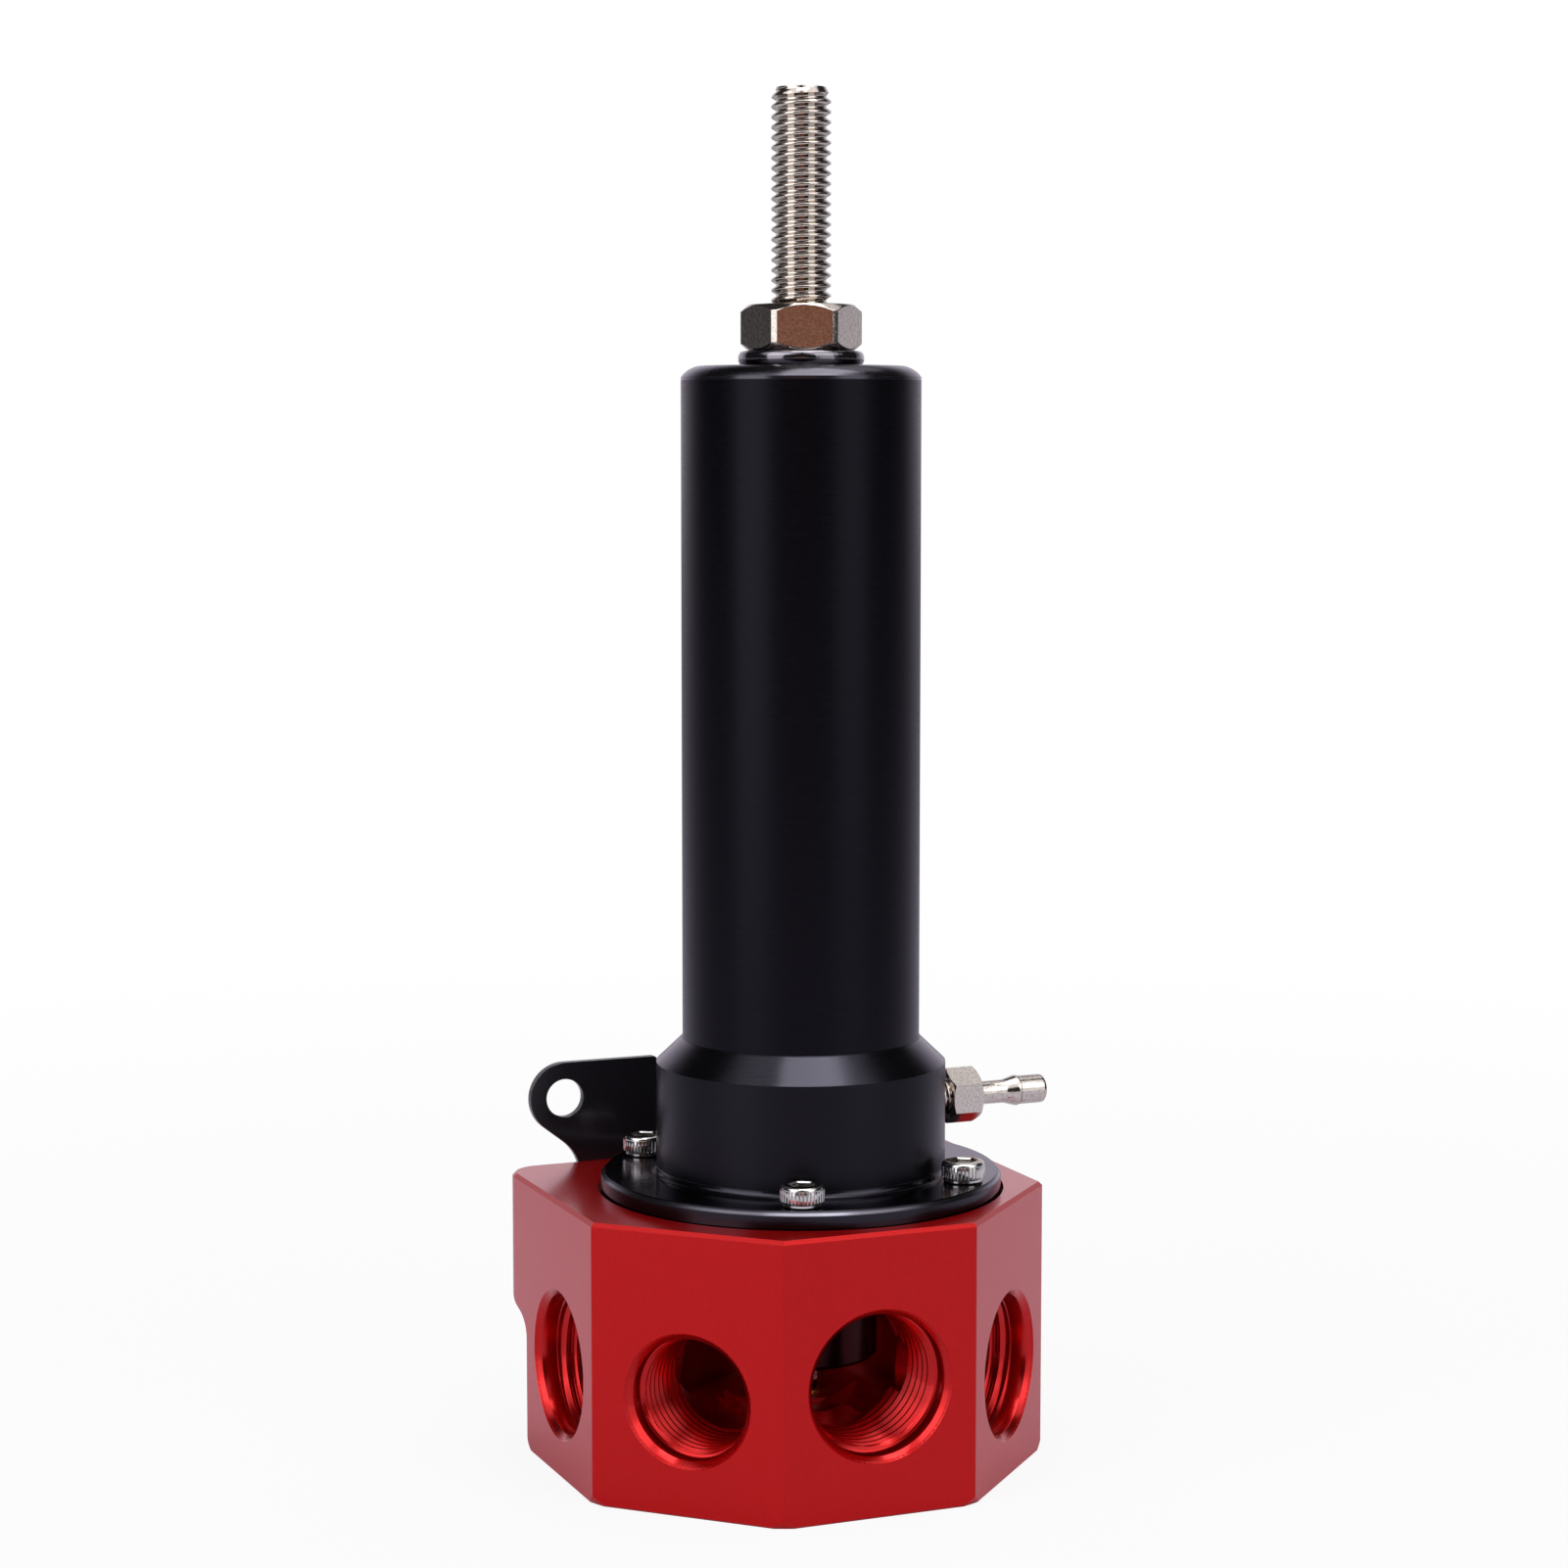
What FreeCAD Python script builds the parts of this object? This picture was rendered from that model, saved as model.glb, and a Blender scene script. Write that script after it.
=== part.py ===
import FreeCAD, Part
import math
import os
from FreeCAD import Vector

# Bypass fuel pressure regulator with a tall spring housing, in millimetres.
# The origin lies on the axis of the spring housing at the underside of the port block.
# +Z is up, -Y is the outward normal of the front port face and +X that of the plain right face.

INCH = 25.4

# Port block: a regular octagon in plan, cut straight across at the back
block_height = 44.6
octagon_across_flats = 77.6
octagon_centre_x = -1.7
octagon_centre_y = 3.0
back_face_y = 30.6
back_corner_radius = 5.5
side_edge_radius = 0.4
top_edge_break = 0.6
base_edge_chamfer = 0.3
base_corner_round = 3.05
base_corner_rise = 2.2
corner_relief_bottom = 18.6
corner_relief_top = 26.6

# Fuel chamber inside the block
chamber_radius = 20.0
chamber_floor = 9.0
seat_boss_radius = 12.4
seat_boss_rise = 2.0
seat_boss_edge = 0.3

# Straight-thread ports with an O-ring seat, by the thread's nominal diameter
large_port_diameter = 0.875 * INCH
large_port_mouth_radius = 11.75
large_port_drill_radius = 10.2
small_port_diameter = 0.75 * INCH
small_port_mouth_radius = 10.35
small_port_drill_radius = 8.7
return_port_diameter = 0.5625 * INCH
return_port_mouth_radius = 7.95
return_port_drill_radius = 6.4
port_clearance = 0.04
port_mouth_break = 0.3
port_seat_depth = 1.6
port_seat_angle = 12.0
port_thread_length = 13.0
port_drill_stop = 28.8
return_thread_length = 5.8
return_drill_past_thread = 0.9
front_port_height = 20.6
side_port_height = 18.2

# Diaphragm and the moving valve below it
diaphragm_thickness = 1.0
diaphragm_edge_gap = 0.2
diaphragm_plate_radius = 17.5
diaphragm_plate_thickness = 2.0
valve_flange_thickness = 3.0
spring_pilot_rise = 3.0
valve_lift = 1.2
lift_stop_clearance = 0.05
holder_radius = 12.4
holder_bottom = 17.0
holder_edge_chamfer = 0.6
stud_radius = 3.95
stud_clearance = 0.1
stud_tip_chamfer = 0.5
stud_past_nut = 1.4
diaphragm_nut_across_flats = 11.1
diaphragm_nut_height = 4.0
diaphragm_washer_radius = 6.6
diaphragm_washer_thickness = 0.9
ball_radius = 0.25 * INCH / 2
ball_fit = 0.05
orifice_radius = 2.4
seat_bush_radius = 3.6
seat_bush_proud = 0.3
seat_bush_lead = 0.3
valve_gap = 0.1
stem_radius = 2.4
stem_depth = 12.0
stem_end_room = 1.0
ball_cup_radius = 3.6
ball_cup_below_centre = 0.4

# Spring housing: flange, boss, cone and tube, turned from one piece
flange_thickness = 4.8
flange_sunk = 2.0
flange_edge_chamfer = 0.7
flange_pocket_clearance = 0.45
boss_radius = 23.3
boss_height = 17.65
boss_fillet = 1.1
cone_height = 4.05
tube_radius = 0.75 * INCH
tube_length = 105.3
shoulder_height = 1.75
shoulder_bulge = 0.45
tube_top_flat_radius = 16.4
tube_wall = 2.55
tube_end_wall = 12.0

# Flange screws: two opposite pairs on one circle, angles from the front (-Y) towards +X
flange_screw_angles = (-22.3, 45.8)
flange_screw_boss_gap = 0.95
flange_screw_rim_margin = 1.15
flange_screw_radius = 2.05
flange_screw_length = 0.625 * INCH
flange_screw_hole_spare = 1.0
flange_screw_hole_clearance = 0.2
flange_screw_head_radius = 3.45
flange_screw_head_height = 2.65
flange_screw_head_chamfer = 0.35
flange_screw_hex = 3.57
flange_screw_hex_depth = 1.5
flange_washer_radius = 3.1
flange_washer_thickness = 0.7
flange_washer_hole_radius = 2.15

# Main spring and the cap that the adjusting screw presses on
spring_wire_radius = 1.6
spring_wire_sides = 8
spring_mean_radius = 13.6
spring_turns = 10.0
spring_pilot_clearance = 0.3
cap_radius = 15.6
cap_thickness = 4.0
cap_pilot_length = 8.0
cap_edge_chamfer = 0.5
cap_room_above = 21.25
thrust_ball_radius = 5.0 / 16.0 * INCH / 2
thrust_ball_gap = 1.0

# Adjusting screw, its seal, washer and jam nut
screw_diameter = 9.45
screw_threads = 16
screw_thread_depth = 0.9
screw_groove_clearance = 0.02
screw_above_nut = 33.8
screw_end_chamfer = 0.9
screw_hex = 3.0 / 16.0 * INCH
screw_hex_depth = 5.0
screw_clearance = 0.05
seal_section_radius = 0.89
seal_gap = 0.1
seal_groove_clearance = 0.1
washer_radius = 10.0
washer_hole_radius = 5.1
washer_thickness = 2.35
washer_edge_chamfer = 0.35
nut_across_flats = 17.1
nut_corner_cut = 0.27
nut_height = 7.3
nut_facet_angle = 11.1
nut_face_inset = 0.25
nut_chamfer_angle = 40.0

# Vacuum reference fitting on the boss
barb_above_flange = 9.8
barb_neck_inset = 0.3
barb_spot_x = 22.9
barb_spot_radius = 4.7
barb_neck_radius = 3.1
barb_neck_clearance = 0.05
barb_hex_start = 25.6
barb_hex_end = 30.9
barb_hex = 8.0
barb_hex_chamfer = 0.45
barb_hex_facet_angle = 30.0
barb_stem_radius = 1.9
barb_flare_start = 36.2
barb_rim_radius = 2.5
barb_rim_start = 38.3
barb_rim_length = 0.4
barb_barrel_radius = 2.38
barb_tip_radius = 1.75
barb_tip_length = 0.8
barb_end = 43.5
barb_bore_radius = 0.8

# Mounting bracket: a flat plate with two ears, on the back of the block
bracket_thickness = 1.5
bracket_hole_radius = 0.125 * INCH
bracket_hole_x = 29.7
bracket_hole_above_block = 10.8
bracket_ear_radius = 6.0
bracket_neck_slope = 38.0
bracket_neck_radius = 8.0
bracket_base_half_width = 26.9
bracket_base_corner_radius = 3.0
bracket_bottom_below_top = 19.1
bracket_slot_gap = 2.9
bracket_slot_below_top = 5.1
bracket_slot_corner_radius = 3.0
bracket_top_corner_radius = 0.8
bracket_screw_x = 19.0
bracket_screw_below_top = 11.6
bracket_screw_radius = 2.4
bracket_screw_length = 9.5
bracket_screw_hole_spare = 1.0
bracket_screw_hole_clearance = 0.2
bracket_screw_head_radius = 4.6
bracket_screw_head_height = 2.6
bracket_screw_brow_radius = 3.95
bracket_screw_brow_height = 1.6
bracket_screw_crown_radius = 2.1
bracket_screw_hex = 3.2
bracket_screw_hex_depth = 1.6
bracket_washer_radius = 4.4
bracket_washer_thickness = 1.1
bracket_washer_hole_radius = 2.5

# Heights that follow from the values above
pocket_floor = block_height - flange_sunk - diaphragm_thickness
diaphragm_top = pocket_floor + diaphragm_thickness
flange_screw_circle_radius = boss_radius + flange_screw_boss_gap + flange_screw_head_radius
flange_radius = flange_screw_circle_radius + flange_screw_head_radius + flange_screw_rim_margin
flange_bottom = diaphragm_top
flange_top = flange_bottom + flange_thickness
boss_top = flange_top + boss_height
tube_bottom = boss_top + cone_height
tube_shoulder = tube_bottom + tube_length
tube_top = tube_shoulder + shoulder_height
plate_top = diaphragm_top + diaphragm_plate_thickness
pilot_top = plate_top + spring_pilot_rise
lift_stop = plate_top + valve_lift + lift_stop_clearance
seat_boss_top = chamber_floor + seat_boss_rise
seat_top = seat_boss_top + seat_bush_proud
ball_centre = seat_top + math.sqrt(ball_radius ** 2 - orifice_radius ** 2) + valve_gap
tube_bore_radius = tube_radius - tube_wall
tube_bore_top = tube_top - tube_end_wall
cap_top = tube_bore_top - cap_room_above
cap_underside = cap_top - cap_thickness
thrust_ball_centre = cap_top + thrust_ball_gap / 2
washer_top = tube_top + washer_thickness
nut_top = washer_top + nut_height
screw_radius = screw_diameter / 2
screw_bottom = cap_top + thrust_ball_gap
screw_top = nut_top + screw_above_nut
barb_height = flange_top + barb_above_flange
bracket_hole_height = block_height + bracket_hole_above_block
bracket_bottom = block_height - bracket_bottom_below_top
bracket_slot_bottom = block_height - bracket_slot_below_top
bracket_screw_height = block_height - bracket_screw_below_top
octagon_apothem = octagon_across_flats / 2
octagon_half_side = octagon_apothem * math.tan(math.radians(22.5))
bracket_back_y = back_face_y + bracket_thickness
flange_half_width_at_back = math.sqrt(flange_radius ** 2 - back_face_y ** 2)
bracket_slot_half_width = flange_half_width_at_back + bracket_slot_gap

UP = Vector(0, 0, 1)
RIGHT = Vector(1, 0, 0)
BACK = Vector(0, 1, 0)
ORIGIN = Vector(0, 0, 0)


def cylinder(radius, bottom, top, x=0.0, y=0.0):
    """An upright cylinder between two heights."""
    return Part.makeCylinder(radius, top - bottom, Vector(x, y, bottom), UP)


def turned(profile):
    """A solid turned about Z from a closed profile of (radius, height) points.

    A step of four numbers is an arc: a point on the way, then its end.
    """
    edges = []
    start = profile[0]
    for step in profile[1:] + profile[:1]:
        if len(step) == 4:
            middle = Vector(step[0], 0, step[1])
            end = (step[2], step[3])
            arc = Part.Arc(Vector(start[0], 0, start[1]), middle, Vector(end[0], 0, end[1]))
            edges.append(arc.toShape())
            start = end
        elif step != start:
            edges.append(Part.makeLine(Vector(start[0], 0, start[1]), Vector(step[0], 0, step[1])))
            start = step
    face = Part.Face(Part.Wire(edges))
    return face.revolve(ORIGIN, UP, 360)


def laid(shape, point, direction):
    """Moves a shape made along +Z from the origin to a point, with +Z turned to a direction."""
    moved = shape.copy()
    moved.Placement = FreeCAD.Placement(point, FreeCAD.Rotation(UP, direction))
    return moved


def hexagon(across_flats, bottom, top, facet_angle=0.0, x=0.0, y=0.0):
    """An upright hexagonal prism with a facet's normal at an angle from +X."""
    corner_radius = across_flats / 2 / math.cos(math.radians(30))
    corners = []
    for index in range(7):
        angle = math.radians(facet_angle + 30 + 60 * index)
        corner = Vector(x + corner_radius * math.cos(angle), y + corner_radius * math.sin(angle), bottom)
        corners.append(corner)
    return Part.Face(Part.makePolygon(corners)).extrude(Vector(0, 0, top - bottom))


def edges_between(shape, low, high):
    """The edges of a shape whose whole length lies between two heights."""
    return [edge for edge in shape.Edges
            if edge.BoundBox.ZMin > low and edge.BoundBox.ZMax < high]


def upright_edges_at(shape, x, y):
    """The upright edges of a shape that stand at one place in plan."""
    found = []
    for edge in shape.Edges:
        box = edge.BoundBox
        upright = box.ZLength > 1 and box.XLength < 0.01 and box.YLength < 0.01
        if upright and abs(box.XMin - x) < 0.05 and abs(box.YMin - y) < 0.05:
            found.append(edge)
    return found


def save(node, shape):
    """Writes one named piece, or one group of like pieces, as its own file."""
    shape.exportStep(os.path.join("parts", node + ".step"))


class Port:
    """One straight-thread port: its thread, O-ring seat and tap drill."""

    def __init__(self, diameter, mouth_radius, drill_radius, thread_length):
        self.thread_radius = diameter / 2 + port_clearance
        self.mouth_radius = mouth_radius
        self.drill_radius = drill_radius
        seat_narrowing = port_seat_depth * math.tan(math.radians(port_seat_angle))
        self.seat_radius = mouth_radius - seat_narrowing
        self.thread_start = port_mouth_break + port_seat_depth + self.seat_radius - self.thread_radius
        self.thread_end = self.thread_start + thread_length

    def cutter(self, depth):
        """The port's hollow, made along -Z from the origin: mouth, seat, thread and tap drill."""
        drill_start = self.thread_end + self.thread_radius - self.drill_radius
        return turned([
            (0.0, 1.0),
            (self.mouth_radius + port_mouth_break, 1.0),
            (self.mouth_radius + port_mouth_break, 0.0),
            (self.mouth_radius, -port_mouth_break),
            (self.seat_radius, -port_mouth_break - port_seat_depth),
            (self.thread_radius, -self.thread_start),
            (self.thread_radius, -self.thread_end),
            (self.drill_radius, -drill_start),
            (self.drill_radius, -depth),
            (0.0, -depth)])


large_port = Port(large_port_diameter, large_port_mouth_radius, large_port_drill_radius,
                  port_thread_length)
small_port = Port(small_port_diameter, small_port_mouth_radius, small_port_drill_radius,
                  port_thread_length)
return_port = Port(return_port_diameter, return_port_mouth_radius, return_port_drill_radius,
                   return_thread_length)


def octagon_face(angle):
    """The middle of an octagon face and its outward normal, by the angle from +X."""
    normal = Vector(math.cos(math.radians(angle)), math.sin(math.radians(angle)), 0)
    centre = Vector(octagon_centre_x, octagon_centre_y, 0)
    return centre + normal * octagon_apothem, normal


def side_ports():
    """Each side port with its face's angle and its height: left, front left, front, front right."""
    return [
        (large_port, 180.0, side_port_height),
        (small_port, 225.0, side_port_height),
        (large_port, 270.0, front_port_height),
        (large_port, 315.0, side_port_height)]


def corner_relief(angle):
    """The cut below a square back corner, whose S-shaped roof runs out to the corner above."""
    rounded_corner_reach = octagon_apothem + back_face_y - octagon_centre_y - 2 * back_corner_radius
    corner_reach = rounded_corner_reach * math.sqrt(0.5) + back_corner_radius
    roof_width = corner_reach - octagon_apothem
    middle_out = octagon_apothem + roof_width / 2
    middle_height = (corner_relief_bottom + corner_relief_top) / 2
    rise = middle_height - corner_relief_bottom
    arc_radius = ((roof_width / 2) ** 2 + rise ** 2) / roof_width
    half_turn = math.asin(rise / arc_radius) / 2
    lower_arc_middle = Vector(octagon_apothem + arc_radius * (1 - math.cos(half_turn)), 0,
                              corner_relief_bottom + arc_radius * math.sin(half_turn))
    upper_arc_middle = Vector(corner_reach - arc_radius * (1 - math.cos(half_turn)), 0,
                              corner_relief_top - arc_radius * math.sin(half_turn))
    foot = Vector(octagon_apothem, 0, corner_relief_bottom)
    middle = Vector(middle_out, 0, middle_height)
    head = Vector(corner_reach, 0, corner_relief_top)
    beyond = octagon_apothem * 1.5
    below = -1.0
    outline = [
        Part.makeLine(Vector(octagon_apothem, 0, below), foot),
        Part.Arc(foot, lower_arc_middle, middle).toShape(),
        Part.Arc(middle, upper_arc_middle, head).toShape(),
        Part.makeLine(head, Vector(beyond, 0, corner_relief_top)),
        Part.makeLine(Vector(beyond, 0, corner_relief_top), Vector(beyond, 0, below)),
        Part.makeLine(Vector(beyond, 0, below), Vector(octagon_apothem, 0, below))]
    width = octagon_across_flats
    cut = Part.Face(Part.Wire(outline)).extrude(Vector(0, width, 0))
    cut.translate(Vector(0, -width / 2, 0))
    cut.rotate(ORIGIN, UP, angle)
    cut.translate(Vector(octagon_centre_x, octagon_centre_y, 0))
    return cut


def flange_screw_places():
    """The places of the flange screws in plan: each stated angle and the one opposite it."""
    places = []
    for first_angle in flange_screw_angles:
        for turn in (0, 180):
            angle = math.radians(first_angle + turn)
            places.append((flange_screw_circle_radius * math.sin(angle),
                           -flange_screw_circle_radius * math.cos(angle)))
    return places


def bracket_screw_places():
    """The places of the bracket screws on the back face, as x and height."""
    return [(-bracket_screw_x, bracket_screw_height), (bracket_screw_x, bracket_screw_height)]


def base_corner_cutter():
    """What a lathe tool takes off the lowest corners of the octagon, leaving them rounded."""
    corner_radius = octagon_apothem / math.cos(math.radians(22.5))
    round_bottom = base_corner_rise - base_corner_round
    plug = cylinder(corner_radius, round_bottom, base_corner_rise + 2.0)
    plug = plug.makeFillet(base_corner_round, edges_between(plug, round_bottom - 0.01, round_bottom + 0.01))
    cutter = cylinder(corner_radius + 10.0, -1.0, base_corner_rise).cut(plug)
    cutter.translate(Vector(octagon_centre_x, octagon_centre_y, 0))
    return cutter


def make_port_block():
    """The ported body with its fuel chamber, valve seat boss, flange pocket and tapped holes."""
    left = octagon_centre_x - octagon_apothem
    right = octagon_centre_x + octagon_apothem
    front = octagon_centre_y - octagon_apothem
    front_corners = [
        (left, octagon_centre_y - octagon_half_side),
        (octagon_centre_x - octagon_half_side, front),
        (octagon_centre_x + octagon_half_side, front),
        (right, octagon_centre_y - octagon_half_side)]
    back_corners = [(right, back_face_y), (left, back_face_y)]
    outline = [Vector(x, y, 0) for x, y in front_corners + back_corners]
    block = Part.Face(Part.makePolygon(outline + outline[:1])).extrude(UP * block_height)
    for x, y in back_corners:
        block = block.makeFillet(back_corner_radius, upright_edges_at(block, x, y))
    top_edges = edges_between(block, block_height - 0.01, block_height + 0.01)
    block = block.makeChamfer(top_edge_break, top_edges)
    for angle in (45.0, 135.0):
        block = block.cut(corner_relief(angle))
    block = block.makeChamfer(base_edge_chamfer, edges_between(block, -0.01, 0.01))
    for x, y in front_corners:
        block = block.makeFillet(side_edge_radius, upright_edges_at(block, x, y))
    block = block.cut(base_corner_cutter())

    chamber = cylinder(chamber_radius, chamber_floor, block_height)
    boss = turned([
        (0.0, chamber_floor - 1.0),
        (seat_boss_radius, chamber_floor - 1.0),
        (seat_boss_radius, seat_boss_top - seat_boss_edge),
        (seat_boss_radius - seat_boss_edge, seat_boss_top),
        (0.0, seat_boss_top)])
    block = block.cut(chamber.cut(boss))
    block = block.cut(cylinder(flange_radius + flange_pocket_clearance, pocket_floor, block_height + 1.0))
    for port, angle, height in side_ports():
        face_middle, normal = octagon_face(angle)
        face_middle.z = height
        block = block.cut(laid(port.cutter(port_drill_stop), face_middle, normal))
    return_floor = return_port.thread_end + return_drill_past_thread
    block = block.cut(laid(return_port.cutter(return_floor), ORIGIN, UP * -1))
    block = block.cut(cylinder(seat_bush_radius, 0.0, block_height))
    hole_floor = flange_top + flange_washer_thickness - flange_screw_length - flange_screw_hole_spare
    for x, y in flange_screw_places():
        block = block.cut(cylinder(flange_screw_radius, hole_floor, block_height, x, y))
    hole_depth = bracket_screw_length - bracket_thickness - bracket_washer_thickness
    for x, height in bracket_screw_places():
        hole = Part.makeCylinder(bracket_screw_radius, hole_depth + bracket_screw_hole_spare,
                                 Vector(x, back_face_y, height), BACK * -1)
        block = block.cut(hole)
    return block


def make_spring_housing():
    """The turned housing: clamping flange, boss, cone and a long tube closed at its top."""
    shoulder_middle_radius = (tube_radius + tube_top_flat_radius) / 2 + shoulder_bulge / 2
    shoulder_middle_height = (tube_shoulder + tube_top) / 2 + shoulder_bulge / 2
    fillet_side = boss_fillet * (1 - math.sqrt(0.5))
    seal_groove_radius = screw_radius + seal_gap + 2 * seal_section_radius + seal_groove_clearance
    seal_groove_floor = tube_top - 2 * seal_section_radius
    housing = turned([
        (chamber_radius, flange_bottom),
        (flange_radius, flange_bottom),
        (flange_radius, flange_top - flange_edge_chamfer),
        (flange_radius - flange_edge_chamfer, flange_top),
        (boss_radius + boss_fillet, flange_top),
        (boss_radius + fillet_side, flange_top + fillet_side, boss_radius, flange_top + boss_fillet),
        (boss_radius, boss_top),
        (tube_radius, tube_bottom),
        (tube_radius, tube_shoulder),
        (shoulder_middle_radius, shoulder_middle_height, tube_top_flat_radius, tube_top),
        (seal_groove_radius, tube_top),
        (seal_groove_radius, seal_groove_floor),
        (screw_radius + screw_clearance, seal_groove_floor),
        (screw_radius + screw_clearance, tube_bore_top),
        (tube_bore_radius, tube_bore_top),
        (tube_bore_radius, lift_stop),
        (chamber_radius, lift_stop)])
    for x, y in flange_screw_places():
        hole_radius = flange_screw_radius + flange_screw_hole_clearance
        housing = housing.cut(cylinder(hole_radius, flange_bottom - 1, flange_top + 1, x, y))
    spot = Part.makeCylinder(barb_spot_radius, boss_radius, Vector(barb_spot_x, 0, barb_height), RIGHT)
    housing = housing.cut(spot)
    barb_hole = Part.makeCylinder(barb_neck_radius + barb_neck_clearance, boss_radius,
                                  Vector(tube_bore_radius - 1.0, 0, barb_height), RIGHT)
    return housing.cut(barb_hole)


def make_diaphragm():
    """The flat rubberised fabric disc, with the screw holes and the hole for the valve's stud."""
    disc = cylinder(flange_radius - diaphragm_edge_gap, pocket_floor, diaphragm_top)
    disc = disc.cut(cylinder(stud_radius + stud_clearance, pocket_floor - 1, diaphragm_top + 1))
    for x, y in flange_screw_places():
        hole_radius = flange_screw_radius + flange_screw_hole_clearance
        disc = disc.cut(cylinder(hole_radius, pocket_floor - 1, diaphragm_top + 1, x, y))
    return disc


def make_diaphragm_plate():
    """The plate on top of the diaphragm, with the raised ring that centres the main spring."""
    pilot_radius = spring_mean_radius - spring_wire_radius - spring_pilot_clearance
    return turned([
        (stud_radius + stud_clearance, diaphragm_top),
        (diaphragm_plate_radius, diaphragm_top),
        (diaphragm_plate_radius, plate_top),
        (pilot_radius, plate_top),
        (pilot_radius, pilot_top - cap_edge_chamfer),
        (pilot_radius - cap_edge_chamfer, pilot_top),
        (stud_radius + stud_clearance, pilot_top)])


def make_diaphragm_washer():
    """The lock washer under the diaphragm nut."""
    return turned([
        (stud_radius + stud_clearance, pilot_top),
        (diaphragm_washer_radius, pilot_top),
        (diaphragm_washer_radius, pilot_top + diaphragm_washer_thickness),
        (stud_radius + stud_clearance, pilot_top + diaphragm_washer_thickness)])


def make_diaphragm_nut():
    """The hexagon nut that clamps the diaphragm between its two plates."""
    bottom = pilot_top + diaphragm_washer_thickness
    top = bottom + diaphragm_nut_height
    nut = hexagon(diaphragm_nut_across_flats, bottom, top)
    return nut.cut(cylinder(stud_radius, bottom - 1, top + 1))


def make_valve_holder():
    """The turned holder below the diaphragm: stud, clamping plate and the hanging cylinder."""
    stud_top = pilot_top + diaphragm_washer_thickness + diaphragm_nut_height + stud_past_nut
    holder = turned([
        (0.0, holder_bottom),
        (holder_radius - holder_edge_chamfer, holder_bottom),
        (holder_radius, holder_bottom + holder_edge_chamfer),
        (holder_radius, pocket_floor - valve_flange_thickness),
        (diaphragm_plate_radius, pocket_floor - valve_flange_thickness),
        (diaphragm_plate_radius, pocket_floor),
        (stud_radius, pocket_floor),
        (stud_radius, stud_top - stud_tip_chamfer),
        (stud_radius - stud_tip_chamfer, stud_top),
        (0.0, stud_top)])
    return holder.cut(cylinder(stem_radius, holder_bottom - 1, holder_bottom + stem_depth + stem_end_room))


def make_valve_stem():
    """The pin that hangs the valve ball: a shank pressed into the holder over a ball cup."""
    cup_bottom = ball_centre - ball_cup_below_centre
    pin = turned([
        (0.0, cup_bottom),
        (ball_cup_radius, cup_bottom),
        (ball_cup_radius, holder_bottom),
        (stem_radius, holder_bottom),
        (stem_radius, holder_bottom + stem_depth),
        (0.0, holder_bottom + stem_depth)])
    return pin.cut(Part.makeSphere(ball_radius + ball_fit, Vector(0, 0, ball_centre)))


def make_valve_ball():
    """The ball that closes the return orifice."""
    return Part.makeSphere(ball_radius, Vector(0, 0, ball_centre))


def make_valve_seat():
    """The seat bush pressed into the boss on the chamber floor."""
    bottom = return_port.thread_end + return_drill_past_thread
    return turned([
        (orifice_radius, bottom),
        (seat_bush_radius - seat_bush_lead, bottom),
        (seat_bush_radius, bottom + seat_bush_lead),
        (seat_bush_radius, seat_top),
        (orifice_radius, seat_top)])


def make_main_spring():
    """The compression spring, with both ends ground flat; its wire is round to within eight sides."""
    length = cap_underside - plate_top
    pitch = length / spring_turns
    helix = Part.makeHelix(pitch, length, spring_mean_radius)
    path = Part.Wire(helix.Edges)
    start = Vector(spring_mean_radius, 0, 0)
    tangent = Vector(0, 2 * math.pi * spring_mean_radius, pitch).normalize()
    across = RIGHT.cross(tangent)
    corners = []
    for index in range(spring_wire_sides + 1):
        angle = 2 * math.pi * (index + 0.5) / spring_wire_sides
        outward = RIGHT * (spring_wire_radius * math.cos(angle))
        corners.append(start + outward + across * (spring_wire_radius * math.sin(angle)))
    coil = path.makePipeShell([Part.makePolygon(corners)], True, True)
    coil.translate(Vector(0, 0, plate_top))
    outer = spring_mean_radius + 2 * spring_wire_radius
    return coil.common(cylinder(outer, plate_top, cap_underside))


def make_spring_cap():
    """The cap on top of the spring, dished for the thrust ball."""
    pilot_radius = spring_mean_radius - spring_wire_radius - spring_pilot_clearance
    cap = turned([
        (0.0, cap_underside - cap_pilot_length),
        (pilot_radius - cap_edge_chamfer, cap_underside - cap_pilot_length),
        (pilot_radius, cap_underside - cap_pilot_length + cap_edge_chamfer),
        (pilot_radius, cap_underside),
        (cap_radius, cap_underside),
        (cap_radius, cap_top - cap_edge_chamfer),
        (cap_radius - cap_edge_chamfer, cap_top),
        (0.0, cap_top)])
    return cap.cut(Part.makeSphere(thrust_ball_radius + ball_fit, Vector(0, 0, thrust_ball_centre)))


def make_thrust_ball():
    """The ball that lets the adjusting screw turn on the spring cap."""
    return Part.makeSphere(thrust_ball_radius, Vector(0, 0, thrust_ball_centre))


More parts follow.
